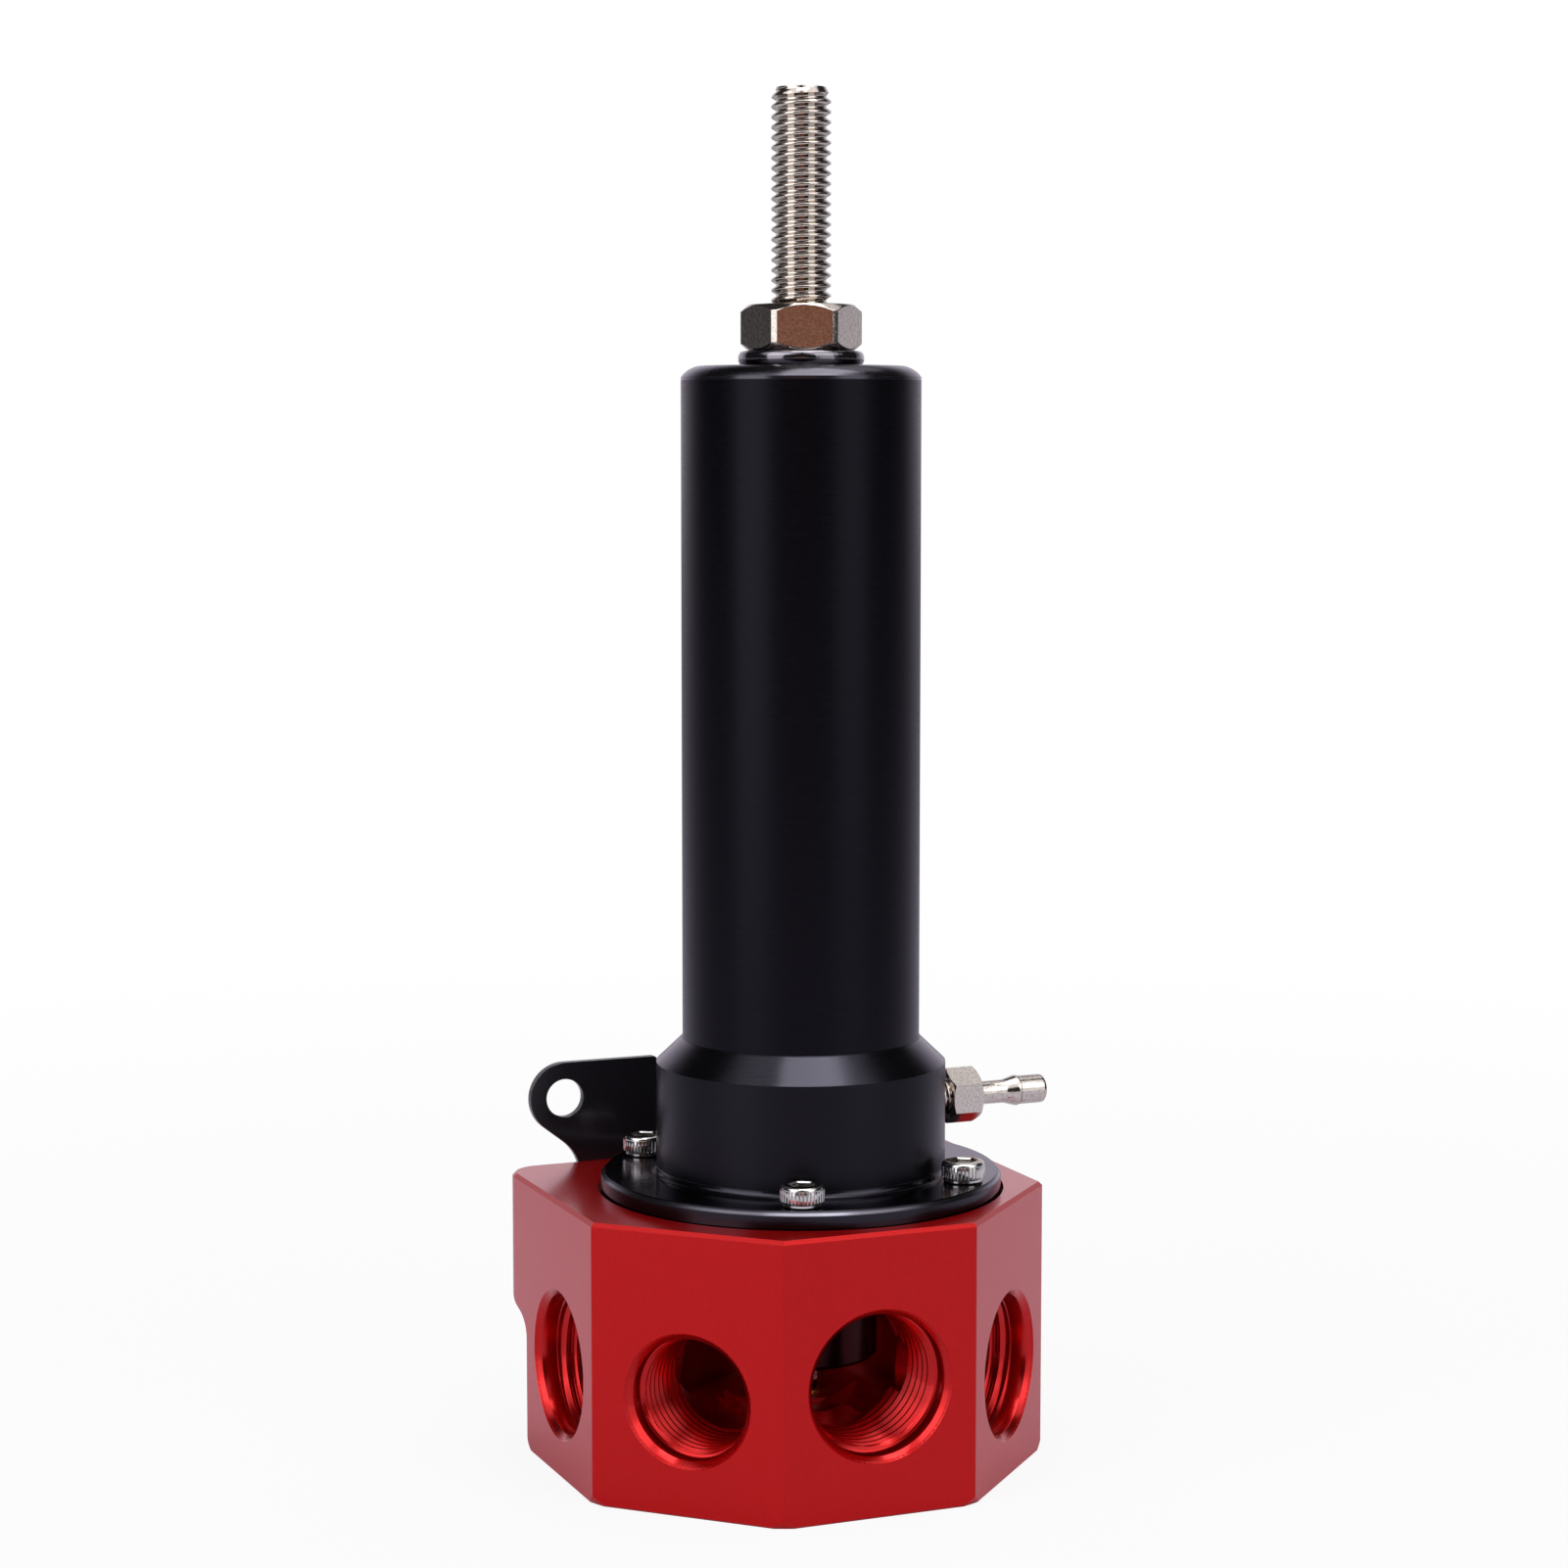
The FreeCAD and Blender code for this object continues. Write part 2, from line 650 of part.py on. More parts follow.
def make_adjusting_screw():
    """The long set screw: ridges at the thread's pitch, a hexagon socket and a dished end."""
    pitch = INCH / screw_threads
    root_radius = screw_radius - screw_thread_depth
    crest_half = pitch / 16
    profile = [
        (0.0, screw_bottom),
        (screw_radius - screw_end_chamfer, screw_bottom),
        (screw_radius, screw_bottom + screw_end_chamfer)]
    groove = nut_top + screw_groove_clearance + pitch / 2
    while groove < screw_top - screw_end_chamfer - pitch / 2:
        profile.append((screw_radius, groove - pitch / 2 + crest_half))
        profile.append((root_radius, groove))
        profile.append((screw_radius, groove + pitch / 2 - crest_half))
        groove += pitch
    profile.append((screw_radius, screw_top - screw_end_chamfer))
    profile.append((screw_radius - screw_end_chamfer, screw_top))
    profile.append((0.0, screw_top))
    screw = turned(profile)
    screw = screw.cut(hexagon(screw_hex, screw_top - screw_hex_depth, screw_top + 1))
    return screw.cut(Part.makeSphere(thrust_ball_radius + 2 * ball_fit, Vector(0, 0, thrust_ball_centre)))


def make_screw_seal():
    """The O-ring round the adjusting screw, in the groove under the washer."""
    ring_radius = screw_radius + seal_gap + seal_section_radius
    centre = Vector(0, 0, tube_top - seal_section_radius)
    return Part.makeTorus(ring_radius, seal_section_radius, centre, UP)


def make_nut_washer():
    """The thick flat washer under the jam nut, its outer edges broken by its stamping."""
    return turned([
        (washer_hole_radius, tube_top),
        (washer_radius - washer_edge_chamfer, tube_top),
        (washer_radius, tube_top + washer_edge_chamfer),
        (washer_radius, washer_top - washer_edge_chamfer),
        (washer_radius - washer_edge_chamfer, washer_top),
        (washer_hole_radius, washer_top)])


def make_jam_nut():
    """The hexagon jam nut, its corners turned off to a cone at both ends."""
    corner_radius = nut_across_flats / 2 / math.cos(math.radians(30)) - nut_corner_cut
    face_radius = nut_across_flats / 2 - nut_face_inset
    cone_drop = (corner_radius - face_radius) * math.tan(math.radians(nut_chamfer_angle))
    envelope = turned([
        (screw_radius + screw_clearance, washer_top),
        (face_radius, washer_top),
        (corner_radius, washer_top + cone_drop),
        (corner_radius, nut_top - cone_drop),
        (face_radius, nut_top),
        (screw_radius + screw_clearance, nut_top)])
    return envelope.common(hexagon(nut_across_flats, washer_top, nut_top, nut_facet_angle))


def cap_screw():
    """A knurled socket head cap screw with the underside of its head at the origin."""
    screw = turned([
        (0.0, -flange_screw_length),
        (flange_screw_radius - flange_screw_head_chamfer, -flange_screw_length),
        (flange_screw_radius, -flange_screw_length + flange_screw_head_chamfer),
        (flange_screw_radius, 0.0),
        (flange_screw_head_radius, 0.0),
        (flange_screw_head_radius, flange_screw_head_height - flange_screw_head_chamfer),
        (flange_screw_head_radius - flange_screw_head_chamfer, flange_screw_head_height),
        (0.0, flange_screw_head_height)])
    socket_floor = flange_screw_head_height - flange_screw_hex_depth
    return screw.cut(hexagon(flange_screw_hex, socket_floor, flange_screw_head_height + 1))


def make_flange_screws():
    """The four cap screws that clamp the flange and the diaphragm to the block."""
    head_seat = flange_top + flange_washer_thickness
    return Part.makeCompound([laid(cap_screw(), Vector(x, y, head_seat), UP)
                              for x, y in flange_screw_places()])


def ring(outer_radius, hole_radius, thickness):
    """A flat ring on the origin."""
    return cylinder(outer_radius, 0, thickness).cut(cylinder(hole_radius, -1, thickness + 1))


def make_flange_washers():
    """The lock washers under the cap screws."""
    washer = ring(flange_washer_radius, flange_washer_hole_radius, flange_washer_thickness)
    return Part.makeCompound([laid(washer, Vector(x, y, flange_top), UP)
                              for x, y in flange_screw_places()])


def make_vacuum_barb():
    """The hose fitting: threaded neck, hexagon, stem and one barb, bored right through."""
    neck_start = tube_bore_radius + barb_neck_inset
    rim_end = barb_rim_start + barb_rim_length
    body = turned([
        (barb_bore_radius, neck_start),
        (barb_neck_radius, neck_start),
        (barb_neck_radius, barb_hex_start),
        (barb_bore_radius, barb_hex_start)])
    flats = hexagon(barb_hex, barb_hex_start, barb_hex_end, barb_hex_facet_angle)
    corner_radius = barb_hex / 2 / math.cos(math.radians(30))
    collar = turned([
        (0.0, barb_hex_start),
        (corner_radius - barb_hex_chamfer, barb_hex_start),
        (corner_radius, barb_hex_start + barb_hex_chamfer),
        (corner_radius, barb_hex_end - barb_hex_chamfer),
        (corner_radius - barb_hex_chamfer, barb_hex_end),
        (0.0, barb_hex_end)])
    nose = turned([
        (0.0, barb_hex_end),
        (barb_stem_radius, barb_hex_end),
        (barb_stem_radius, barb_flare_start),
        (barb_rim_radius, barb_rim_start),
        (barb_rim_radius, rim_end),
        (barb_barrel_radius, rim_end),
        (barb_barrel_radius, barb_end - barb_tip_length),
        (barb_tip_radius, barb_end),
        (0.0, barb_end)])
    fitting = body.fuse([flats.common(collar), nose]).removeSplitter()
    bore = cylinder(barb_bore_radius, neck_start - 1, barb_end + 1)
    return laid(fitting.cut(bore), Vector(0, 0, barb_height), RIGHT)


def bracket_outline():
    """The bracket's outline as points and arcs in x and height, from the right half mirrored."""
    slope = math.radians(bracket_neck_slope)
    ear_x = bracket_hole_x
    ear_top = bracket_hole_height + bracket_ear_radius
    tangent_x = ear_x + bracket_ear_radius * math.sin(slope)
    tangent_z = bracket_hole_height - bracket_ear_radius * math.cos(slope)
    side_angle = (math.radians(90) + math.radians(-90) + slope) / 2
    ear_side = (ear_x + bracket_ear_radius * math.cos(side_angle),
                bracket_hole_height + bracket_ear_radius * math.sin(side_angle))
    neck_centre_x = bracket_base_half_width + bracket_neck_radius
    neck_start_x = neck_centre_x - bracket_neck_radius * math.sin(slope)
    neck_start_z = tangent_z - (tangent_x - neck_start_x) * math.tan(slope)
    neck_centre_z = neck_start_z - bracket_neck_radius * math.cos(slope)
    neck_turn = (math.radians(180) + math.radians(90) + slope) / 2
    neck_side = (neck_centre_x + bracket_neck_radius * math.cos(neck_turn),
                 neck_centre_z + bracket_neck_radius * math.sin(neck_turn))
    return [
        (bracket_slot_half_width, bracket_slot_bottom),
        (bracket_slot_half_width, ear_top),
        (ear_x, ear_top),
        ear_side + (tangent_x, tangent_z),
        (neck_start_x, neck_start_z),
        neck_side + (bracket_base_half_width, neck_centre_z),
        (bracket_base_half_width, bracket_bottom)]


def make_mounting_bracket():
    """The flat two-eared plate, slotted between its ears to pass the flange."""
    right_half = bracket_outline()
    path = []
    start = right_half[0]
    for step in right_half[1:]:
        if len(step) == 4:
            path.append((start, (step[0], step[1]), (step[2], step[3])))
            start = (step[2], step[3])
        else:
            path.append((start, None, step))
            start = step
    foot = start
    mirrored = [((-end[0], end[1]), middle and (-middle[0], middle[1]), (-begin[0], begin[1]))
                for begin, middle, end in reversed(path)]
    slot = right_half[0]
    whole = path + [(foot, None, (-foot[0], foot[1]))] + mirrored
    whole.append(((-slot[0], slot[1]), None, slot))
    edges = []
    for begin, middle, end in whole:
        first = Vector(begin[0], back_face_y, begin[1])
        last = Vector(end[0], back_face_y, end[1])
        if middle:
            edges.append(Part.Arc(first, Vector(middle[0], back_face_y, middle[1]), last).toShape())
        else:
            edges.append(Part.makeLine(first, last))
    plate = Part.Face(Part.Wire(edges)).extrude(BACK * bracket_thickness)
    ear_top = bracket_hole_height + bracket_ear_radius
    rounded = [
        (bracket_slot_half_width, bracket_slot_bottom, bracket_slot_corner_radius),
        (bracket_slot_half_width, ear_top, bracket_top_corner_radius),
        (bracket_base_half_width, bracket_bottom, bracket_base_corner_radius)]
    for x, height, radius in rounded:
        corners = []
        for edge in plate.Edges:
            box = edge.BoundBox
            across = box.YLength > bracket_thickness - 0.01 and box.XLength < 0.01
            if across and abs(abs(box.XMin) - x) < 0.01 and abs(box.ZMin - height) < 0.01:
                corners.append(edge)
        plate = plate.makeFillet(radius, corners)
    for side in (-1, 1):
        hole = Part.makeCylinder(bracket_hole_radius, bracket_thickness + 2,
                                 Vector(side * bracket_hole_x, back_face_y - 1, bracket_hole_height), BACK)
        plate = plate.cut(hole)
    for x, height in bracket_screw_places():
        hole = Part.makeCylinder(bracket_screw_radius + bracket_screw_hole_clearance,
                                 bracket_thickness + 2, Vector(x, back_face_y - 1, height), BACK)
        plate = plate.cut(hole)
    return plate


def button_screw():
    """A button head socket screw with the underside of its head at the origin."""
    screw = turned([
        (0.0, -bracket_screw_length),
        (bracket_screw_radius, -bracket_screw_length),
        (bracket_screw_radius, 0.0),
        (bracket_screw_head_radius, 0.0),
        (bracket_screw_brow_radius, bracket_screw_brow_height),
        (bracket_screw_crown_radius, bracket_screw_head_height),
        (0.0, bracket_screw_head_height)])
    socket_floor = bracket_screw_head_height - bracket_screw_hex_depth
    return screw.cut(hexagon(bracket_screw_hex, socket_floor, bracket_screw_head_height + 1))


def make_bracket_screws():
    """The two button head screws that hold the bracket."""
    head_y = bracket_back_y + bracket_washer_thickness
    return Part.makeCompound([laid(button_screw(), Vector(x, head_y, height), BACK)
                              for x, height in bracket_screw_places()])


def make_bracket_washers():
    """The lock washers under the bracket screws."""
    washer = ring(bracket_washer_radius, bracket_washer_hole_radius, bracket_washer_thickness)
    return Part.makeCompound([laid(washer, Vector(x, bracket_back_y, height), BACK)
                              for x, height in bracket_screw_places()])


os.makedirs("parts", exist_ok=True)
save("port_block", make_port_block())
save("spring_housing", make_spring_housing())
save("diaphragm", make_diaphragm())
save("diaphragm_plate", make_diaphragm_plate())
save("diaphragm_washer", make_diaphragm_washer())
save("diaphragm_nut", make_diaphragm_nut())
save("valve_holder", make_valve_holder())
save("valve_stem", make_valve_stem())
save("valve_ball", make_valve_ball())
save("valve_seat", make_valve_seat())
save("main_spring", make_main_spring())
save("spring_cap", make_spring_cap())
save("thrust_ball", make_thrust_ball())
save("adjusting_screw", make_adjusting_screw())
save("screw_seal", make_screw_seal())
save("nut_washer", make_nut_washer())
save("jam_nut", make_jam_nut())
save("flange_screws", make_flange_screws())
save("flange_washers", make_flange_washers())
save("vacuum_barb", make_vacuum_barb())
save("mounting_bracket", make_mounting_bracket())
save("bracket_screws", make_bracket_screws())
save("bracket_washers", make_bracket_washers())
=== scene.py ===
import math

import bmesh
import bpy
import numpy as np
from mathutils import Euler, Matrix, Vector


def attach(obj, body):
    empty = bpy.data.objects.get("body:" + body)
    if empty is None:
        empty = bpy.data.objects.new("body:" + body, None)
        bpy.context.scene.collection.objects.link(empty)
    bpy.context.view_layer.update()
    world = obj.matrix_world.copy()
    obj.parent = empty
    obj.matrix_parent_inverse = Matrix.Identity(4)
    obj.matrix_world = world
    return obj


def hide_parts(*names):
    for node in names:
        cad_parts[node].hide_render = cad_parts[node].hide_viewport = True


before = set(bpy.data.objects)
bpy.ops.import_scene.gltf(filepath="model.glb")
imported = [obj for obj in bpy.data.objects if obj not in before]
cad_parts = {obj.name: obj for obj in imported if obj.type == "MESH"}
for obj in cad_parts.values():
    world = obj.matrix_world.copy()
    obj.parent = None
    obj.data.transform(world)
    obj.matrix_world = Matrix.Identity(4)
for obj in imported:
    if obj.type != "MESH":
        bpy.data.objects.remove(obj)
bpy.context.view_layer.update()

# Fuel pressure regulator with a tall spring housing. Sizes are in millimetres and turn to metres where a
# mesh or a pattern is made. +Z is up along the housing's axis, and -Y is out of the front port.
MM = 0.001
INCH = 25.4
HOUSING = "regulator_body"


# Shapes

FULL_TURN = 2 * math.pi
MERGED_WITHIN = 0.002 * MM
SHORTEST_EDGE = 0.0005 * MM
ROUND_STEPS = 96


def angles(columns):
    """Angles round one full turn; the last lies on the first, and the seam is merged later."""
    return np.linspace(0.0, FULL_TURN, columns + 1)


def rows_to_points(rows, theta):
    """Points r cos t, r sin t, z for each row; a row's r and z are numbers or arrays over t."""
    points = np.zeros((len(rows), len(theta), 3))
    for index, (radius, height) in enumerate(rows):
        points[index, :, 0] = radius * np.cos(theta)
        points[index, :, 1] = radius * np.sin(theta)
        points[index, :, 2] = height
    return points


def hexagon_radius(theta, across_flats, facet_angle=0.0):
    """Distance from the axis to a hexagon's side: half the flats over the cosine to the nearest facet."""
    sector = FULL_TURN / 6
    from_facet = (theta - math.radians(facet_angle) + sector / 2) % sector - sector / 2
    return across_flats / 2 / np.cos(from_facet)


def arc_rows(centre, radius, start, end, steps):
    """Rows along a circular arc of a turned profile, between two angles in degrees."""
    turn = np.radians(np.linspace(start, end, steps))
    return [(centre[0] + radius * math.cos(a), centre[1] + radius * math.sin(a)) for a in turn]


# One pitch of a thread: share of the pitch, and depth from crest at 0 to root at 1
THREAD_FORM = ((0.0, 0.0), (0.08, 0.0), (0.12, 0.06), (0.37, 0.94), (0.41, 1.0),
               (0.59, 1.0), (0.63, 0.94), (0.88, 0.06), (0.92, 0.0))


def thread_rows(theta, bottom, top, pitch, crest, root):
    """A right-hand screw surface: the radius goes from crest to root by the thread form, read at
    height over pitch less the turn. The rows climb one pitch a turn, cut off flat at both ends."""
    phase_of_form, depth_of_form = np.array(THREAD_FORM + ((1.0, 0.0),)).T
    spare_turns = 2
    first = math.floor(bottom / pitch) - spare_turns
    last = math.ceil(top / pitch) + spare_turns
    rows = []
    for turn in range(first, last):
        for phase in phase_of_form[:-1]:
            height = np.clip((turn + phase + theta / FULL_TURN) * pitch, bottom, top)
            here = (height / pitch - theta / FULL_TURN) % 1.0
            radius = crest + (root - crest) * np.interp(here, phase_of_form, depth_of_form)
            rows.append((radius, height))
    return rows


def laid(points, place, direction):
    """Points made along +Z, turned so that +Z becomes the direction, and moved to a place."""
    turn = np.array(Vector((0, 0, 1)).rotation_difference(Vector(direction)).to_matrix())
    return points @ turn.T + np.array(place)


def piece(name, grids, body, material, stands_for=(), sharp=35.0):
    """One named piece from grids of points in millimetres: quads between neighbours, doubled points
    merged so that seams and poles close, faces turned outwards, edges over an angle kept sharp."""
    vertices = []
    faces = []
    offset = 0
    for grid in grids:
        rows, columns = grid.shape[:2]
        number = np.arange(rows * columns).reshape(rows, columns) + offset
        corners = (number[:-1, :-1], number[:-1, 1:], number[1:, 1:], number[1:, :-1])
        faces.append(np.stack([c.ravel() for c in corners], axis=1))
        vertices.append(grid.reshape(-1, 3) * MM)
        offset += rows * columns
    mesh = bpy.data.meshes.new(name)
    mesh.from_pydata(np.concatenate(vertices).tolist(), [], np.concatenate(faces).tolist())
    return finished(name, mesh, body, material, stands_for, sharp)


def finished(name, mesh, body, material, stands_for, sharp):
    """Merges, closes and shades a mesh, and makes it a piece of the part. Edges bent by the sharp angle
    or more are marked, and normals kept with a copied mesh go, since they would hide the marks."""
    work = bmesh.new()
    work.from_mesh(mesh)
    bmesh.ops.remove_doubles(work, verts=work.verts, dist=MERGED_WITHIN)
    bmesh.ops.dissolve_degenerate(work, edges=work.edges, dist=SHORTEST_EDGE)
    bmesh.ops.recalc_face_normals(work, faces=work.faces)
    work.normal_update()
    for edge in work.edges:
        edge.smooth = edge.calc_face_angle(0.0) < math.radians(sharp)
    work.to_mesh(mesh)
    work.free()
    mesh.polygons.foreach_set("use_smooth", np.ones(len(mesh.polygons), bool))
    if "custom_normal" in mesh.attributes:
        mesh.attributes.remove(mesh.attributes["custom_normal"])
    mesh.materials.clear()
    mesh.materials.append(material)
    made = bpy.data.objects.new(name, mesh)
    bpy.context.scene.collection.objects.link(made)
    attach(made, body)
    if stands_for:
        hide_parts(*stands_for)
    return made


def from_cad(node, name, body, material, edge_round=0.0, sharp=28.0):
    """A copy of a CAD node with its triangles merged, flat faces joined and, given an edge round, true
    corners rounded.
    """
    flat_within = math.radians(0.2)
    corner_from = math.radians(40)
    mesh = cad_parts[node].data.copy()
    work = bmesh.new()
    work.from_mesh(mesh)
    bmesh.ops.remove_doubles(work, verts=work.verts, dist=MERGED_WITHIN)
    bmesh.ops.dissolve_limit(work, angle_limit=flat_within, verts=work.verts, edges=work.edges)
    work.to_mesh(mesh)
    work.free()
    made = finished(name, mesh, body, material, (node,), sharp)
    if edge_round:
        bevel = made.modifiers.new("edge_round", "BEVEL")
        bevel.width = edge_round * MM
        bevel.segments = 2
        bevel.limit_method = "ANGLE"
        bevel.angle_limit = corner_from
    even = made.modifiers.new("flat_faces_lead", "WEIGHTED_NORMAL")
    even.mode = "FACE_AREA"
    even.weight = 100
    even.keep_sharp = True
    return made


# Materials

def linear(code):
    """A colour written as sRGB hex, turned to the linear values that shaders take."""
    parts = [int(code[i:i + 2], 16) / 255 for i in (1, 3, 5)]
    return tuple(c / 12.92 if c <= 0.04045 else ((c + 0.055) / 1.055) ** 2.4 for c in parts) + (1.0,)


def add(tree, kind, settings=None, values=None, links=None):
    """Adds one node: settings are its properties, values its sockets, links its sources by socket."""
    node = tree.nodes.new(kind)
    for key, value in (settings or {}).items():
        setattr(node, key, value)
    for key, value in (values or {}).items():
        node.inputs[key].default_value = value
    for key, source in (links or {}).items():
        tree.links.new(source, node.inputs[key])
    return node


def finish_material(name, colour, metallic, roughness, **sockets):
    """A new material with one Principled shader, whose plain values sit on its own sockets."""
    made = bpy.data.materials.new(name)
    made.use_nodes = True
    tree = made.node_tree
    shader = tree.nodes["Principled BSDF"]
    shader.inputs["Base Color"].default_value = linear(colour)
    shader.inputs["Metallic"].default_value = metallic
    shader.inputs["Roughness"].default_value = roughness
    for key, value in sockets.items():
        shader.inputs[key.replace("_", " ")].default_value = value
    return made, tree, shader


def grain(tree, shader, size, depth, rough, squeeze=(1.0, 1.0, 1.0), detail=3.0):
    """Surface grain of a size in millimetres: noise that moves the roughness between two values and
    lifts the surface by a depth. Squeeze makes it finer along an axis by that factor."""
    place = add(tree, "ShaderNodeTexCoord")
    spread = add(tree, "ShaderNodeMapping", values={"Scale": squeeze},
                 links={"Vector": place.outputs["Object"]})
    noise = add(tree, "ShaderNodeTexNoise", values={"Scale": 1 / (size * MM), "Detail": detail},
                links={"Vector": spread.outputs["Vector"]})
    roughness = add(tree, "ShaderNodeMapRange", values={"To Min": rough[0], "To Max": rough[1]},
                    links={"Value": noise.outputs["Fac"]})
    tree.links.new(roughness.outputs["Result"], shader.inputs["Roughness"])
    bump = add(tree, "ShaderNodeBump", values={"Strength": 1.0, "Distance": depth * MM},
               links={"Height": noise.outputs["Fac"]})
    tree.links.new(bump.outputs["Normal"], shader.inputs["Normal"])
    return noise


def shade_by(tree, shader, noise, dark, light):
    """Lets the grain also move the colour a little between two close tones."""
    blend = add(tree, "ShaderNodeMix", settings={"data_type": "RGBA"},
                links={"Factor": noise.outputs["Fac"]})
    tones = [s for s in blend.inputs if s.type == "RGBA"]
    tones[0].default_value = linear(dark)
    tones[1].default_value = linear(light)
    result = [s for s in blend.outputs if s.type == "RGBA"][0]
    tree.links.new(result, shader.inputs["Base Color"])


def height_band(tree, low, high):
    """One between two heights in millimetres on the part and nought outside, with a short soft edge."""
    soft = 0.1
    place = add(tree, "ShaderNodeTexCoord")
    parts = add(tree, "ShaderNodeSeparateXYZ", links={0: place.outputs["Object"]})
    above = add(tree, "ShaderNodeMapRange", links={"Value": parts.outputs["Z"]},
                values={"From Min": (low - soft) * MM, "From Max": (low + soft) * MM})
    below = add(tree, "ShaderNodeMapRange", links={"Value": parts.outputs["Z"]},
                values={"From Min": (high + soft) * MM, "From Max": (high - soft) * MM})
    return add(tree, "ShaderNodeMath", settings={"operation": "MULTIPLY"},
               links={0: above.outputs["Result"], 1: below.outputs["Result"]}).outputs[0]


def recolour_band(tree, shader, mask, colour):
    """Puts a second colour over the base colour where the mask is one."""
    before = shader.inputs["Base Color"].links[0].from_socket
    over = add(tree, "ShaderNodeMix", settings={"data_type": "RGBA"}, links={"Factor": mask})
    tones = [s for s in over.inputs if s.type == "RGBA"]
    tree.links.new(before, tones[0])
    tones[1].default_value = linear(colour)
    result = [s for s in over.outputs if s.type == "RGBA"][0]
    tree.links.new(result, shader.inputs["Base Color"])


def polish_band(tree, shader, mask, share):
    """Leaves only a share of the roughness where the mask is one."""
    before = shader.inputs["Roughness"].links[0].from_socket
    left = add(tree, "ShaderNodeMapRange", values={"To Min": 1.0, "To Max": share}, links={"Value": mask})
    product = add(tree, "ShaderNodeMath", settings={"operation": "MULTIPLY"},
                  links={0: before, 1: left.outputs["Result"]})
    tree.links.new(product.outputs[0], shader.inputs["Roughness"])


def red_anodised(name, metallic, coat_ior, rough, squeeze=(1.0, 1.0, 1.0)):
    """Dyed anodised aluminium: an even red in the oxide over metal, under its clear glassy skin."""
    made, tree, shader = finish_material(name, "#C00A0C", metallic, roughness=0.34, Coat_Weight=1.0,
                                         Coat_Roughness=0.16, Coat_IOR=coat_ior, Specular_IOR_Level=0.1)
    noise = grain(tree, shader, size=0.35, depth=0.003, rough=rough, squeeze=squeeze)
    shade_by(tree, shader, noise, "#B40608", "#C4090B")
    return made


# The block's milled faces have faint upright streaks, and the cut threads are more metallic and glossier
RED_MILLED = red_anodised("anodised_aluminium_red_milled", metallic=0.6, coat_ior=1.23, rough=(0.28, 0.4),
                          squeeze=(1.0, 1.0, 0.25))
RED_THREAD = red_anodised("anodised_aluminium_red_thread", metallic=0.85, coat_ior=1.3, rough=(0.2, 0.28))

# Heights on the housing: the boss, then the bands from the flange's rim up to the tube's top edge, whose
# lighter colours are painted highlights
BOSS_BAND = (47.5, 65.0)
PAINTED_HIGHLIGHT_BANDS = (
    # from and to, painted highlight colour, share of the roughness that is left
    (40.0, 46.65, "#302F35", 0.62), (46.75, 47.15, "#6E6C75", 0.55), (47.3, 47.5, "#34333A", 0.5),
    (47.6, 48.5, "#302F35", 0.55), (65.05, 68.95, "#38373E", 0.62), (173.9, 177.0, "#4C4A51", 0.62))


def black_turned():
    """Black hard-anodised aluminium, turned: a dark metal, nearly black face on, that shines at a slant.
    The boss is a little paler than the tube. On the cut edges, the cone and the flange's rim a lighter
    colour is painted highlight, with less roughness there. Its turning lines are about 0.2 mm high, coarser
    than real ones, so that they show."""
    made, tree, shader = finish_material("anodised_aluminium_black_turned", "#1B1A1F", metallic=1.0,
                                         roughness=0.3, Specular_Tint=(0.98, 0.95, 1.0, 1.0))
    noise = grain(tree, shader, size=2.0, depth=0.012, rough=(0.24, 0.4), squeeze=(1.0, 1.0, 9.0),
                  detail=6.0)
    shade_by(tree, shader, noise, "#17161B", "#201F24")
    recolour_band(tree, shader, height_band(tree, *BOSS_BAND), "#242328")
    for low, high, colour, share in PAINTED_HIGHLIGHT_BANDS:
        highlight_and_polish = height_band(tree, low, high)
        # painted highlight: a lighter colour over the band, and less roughness there
        recolour_band(tree, shader, highlight_and_polish, colour)
        polish_band(tree, shader, highlight_and_polish, share)
    return made


BLACK_TURNED = black_turned()


def grained(name, colour, metallic, roughness, size, depth, rough, tones=None, **pattern):
    """A whole plain material: one colour or two close tones, and grain. Roughness is the typical one,
    and rough the range that the grain gives it."""
    made, tree, shader = finish_material(name, colour, metallic, roughness)
    noise = grain(tree, shader, size, depth, rough, **pattern)
    if tones:
        shade_by(tree, shader, noise, *tones)
    return made


# Black enamelled steel sheet: smoother and a little glossier than the anodised housing
BLACK_SHEET = grained("enamelled_steel_black", "#1E1D22", metallic=0.0, roughness=0.2, size=1.2,
                      depth=0.004, rough=(0.14, 0.26))

# Bright nickel plate on the adjusting screw: mirror-like, faintly warm
NICKEL = grained("nickel_plate_bright", "#C2BAB2", metallic=1.0, roughness=0.09, size=0.7, depth=0.0015,
                 rough=(0.05, 0.13), tones=("#B8AFA6", "#CBC3BA"))

# The same plate over the sawn bar of the nut and the fitting: dark specks and a softer mirror. The specks
# are coarser than real ones, so that they show.
NICKEL_SPECKED = grained("nickel_plate_over_sawn_bar", "#C2BAB2", metallic=1.0, roughness=0.12, size=0.4,
                         depth=0.012, rough=(0.07, 0.17), tones=("#8C837B", "#F0E8E0"), detail=2.0)

# The nut's washer is stamped, and waved so that its rim breaks up what it mirrors. Its darker colour is a
# painted reflection of the dark things round it.
WASHER_STEEL_PAINTED_DARK = grained("steel_stamped_polished_painted_dark", "#77747A", metallic=1.0, roughness=0.1, size=2.4,
                       depth=0.12, rough=(0.06, 0.16), squeeze=(1.0, 1.0, 0.5), detail=1.5)

# Stainless steel of the small screws, their washers, the valve's stem and the balls: neutral, slightly
# duller than the nickel
STAINLESS = grained("stainless_steel_rolled", "#CBCAC7", metallic=1.0, roughness=0.16, size=0.5,
                    depth=0.002, rough=(0.1, 0.2))

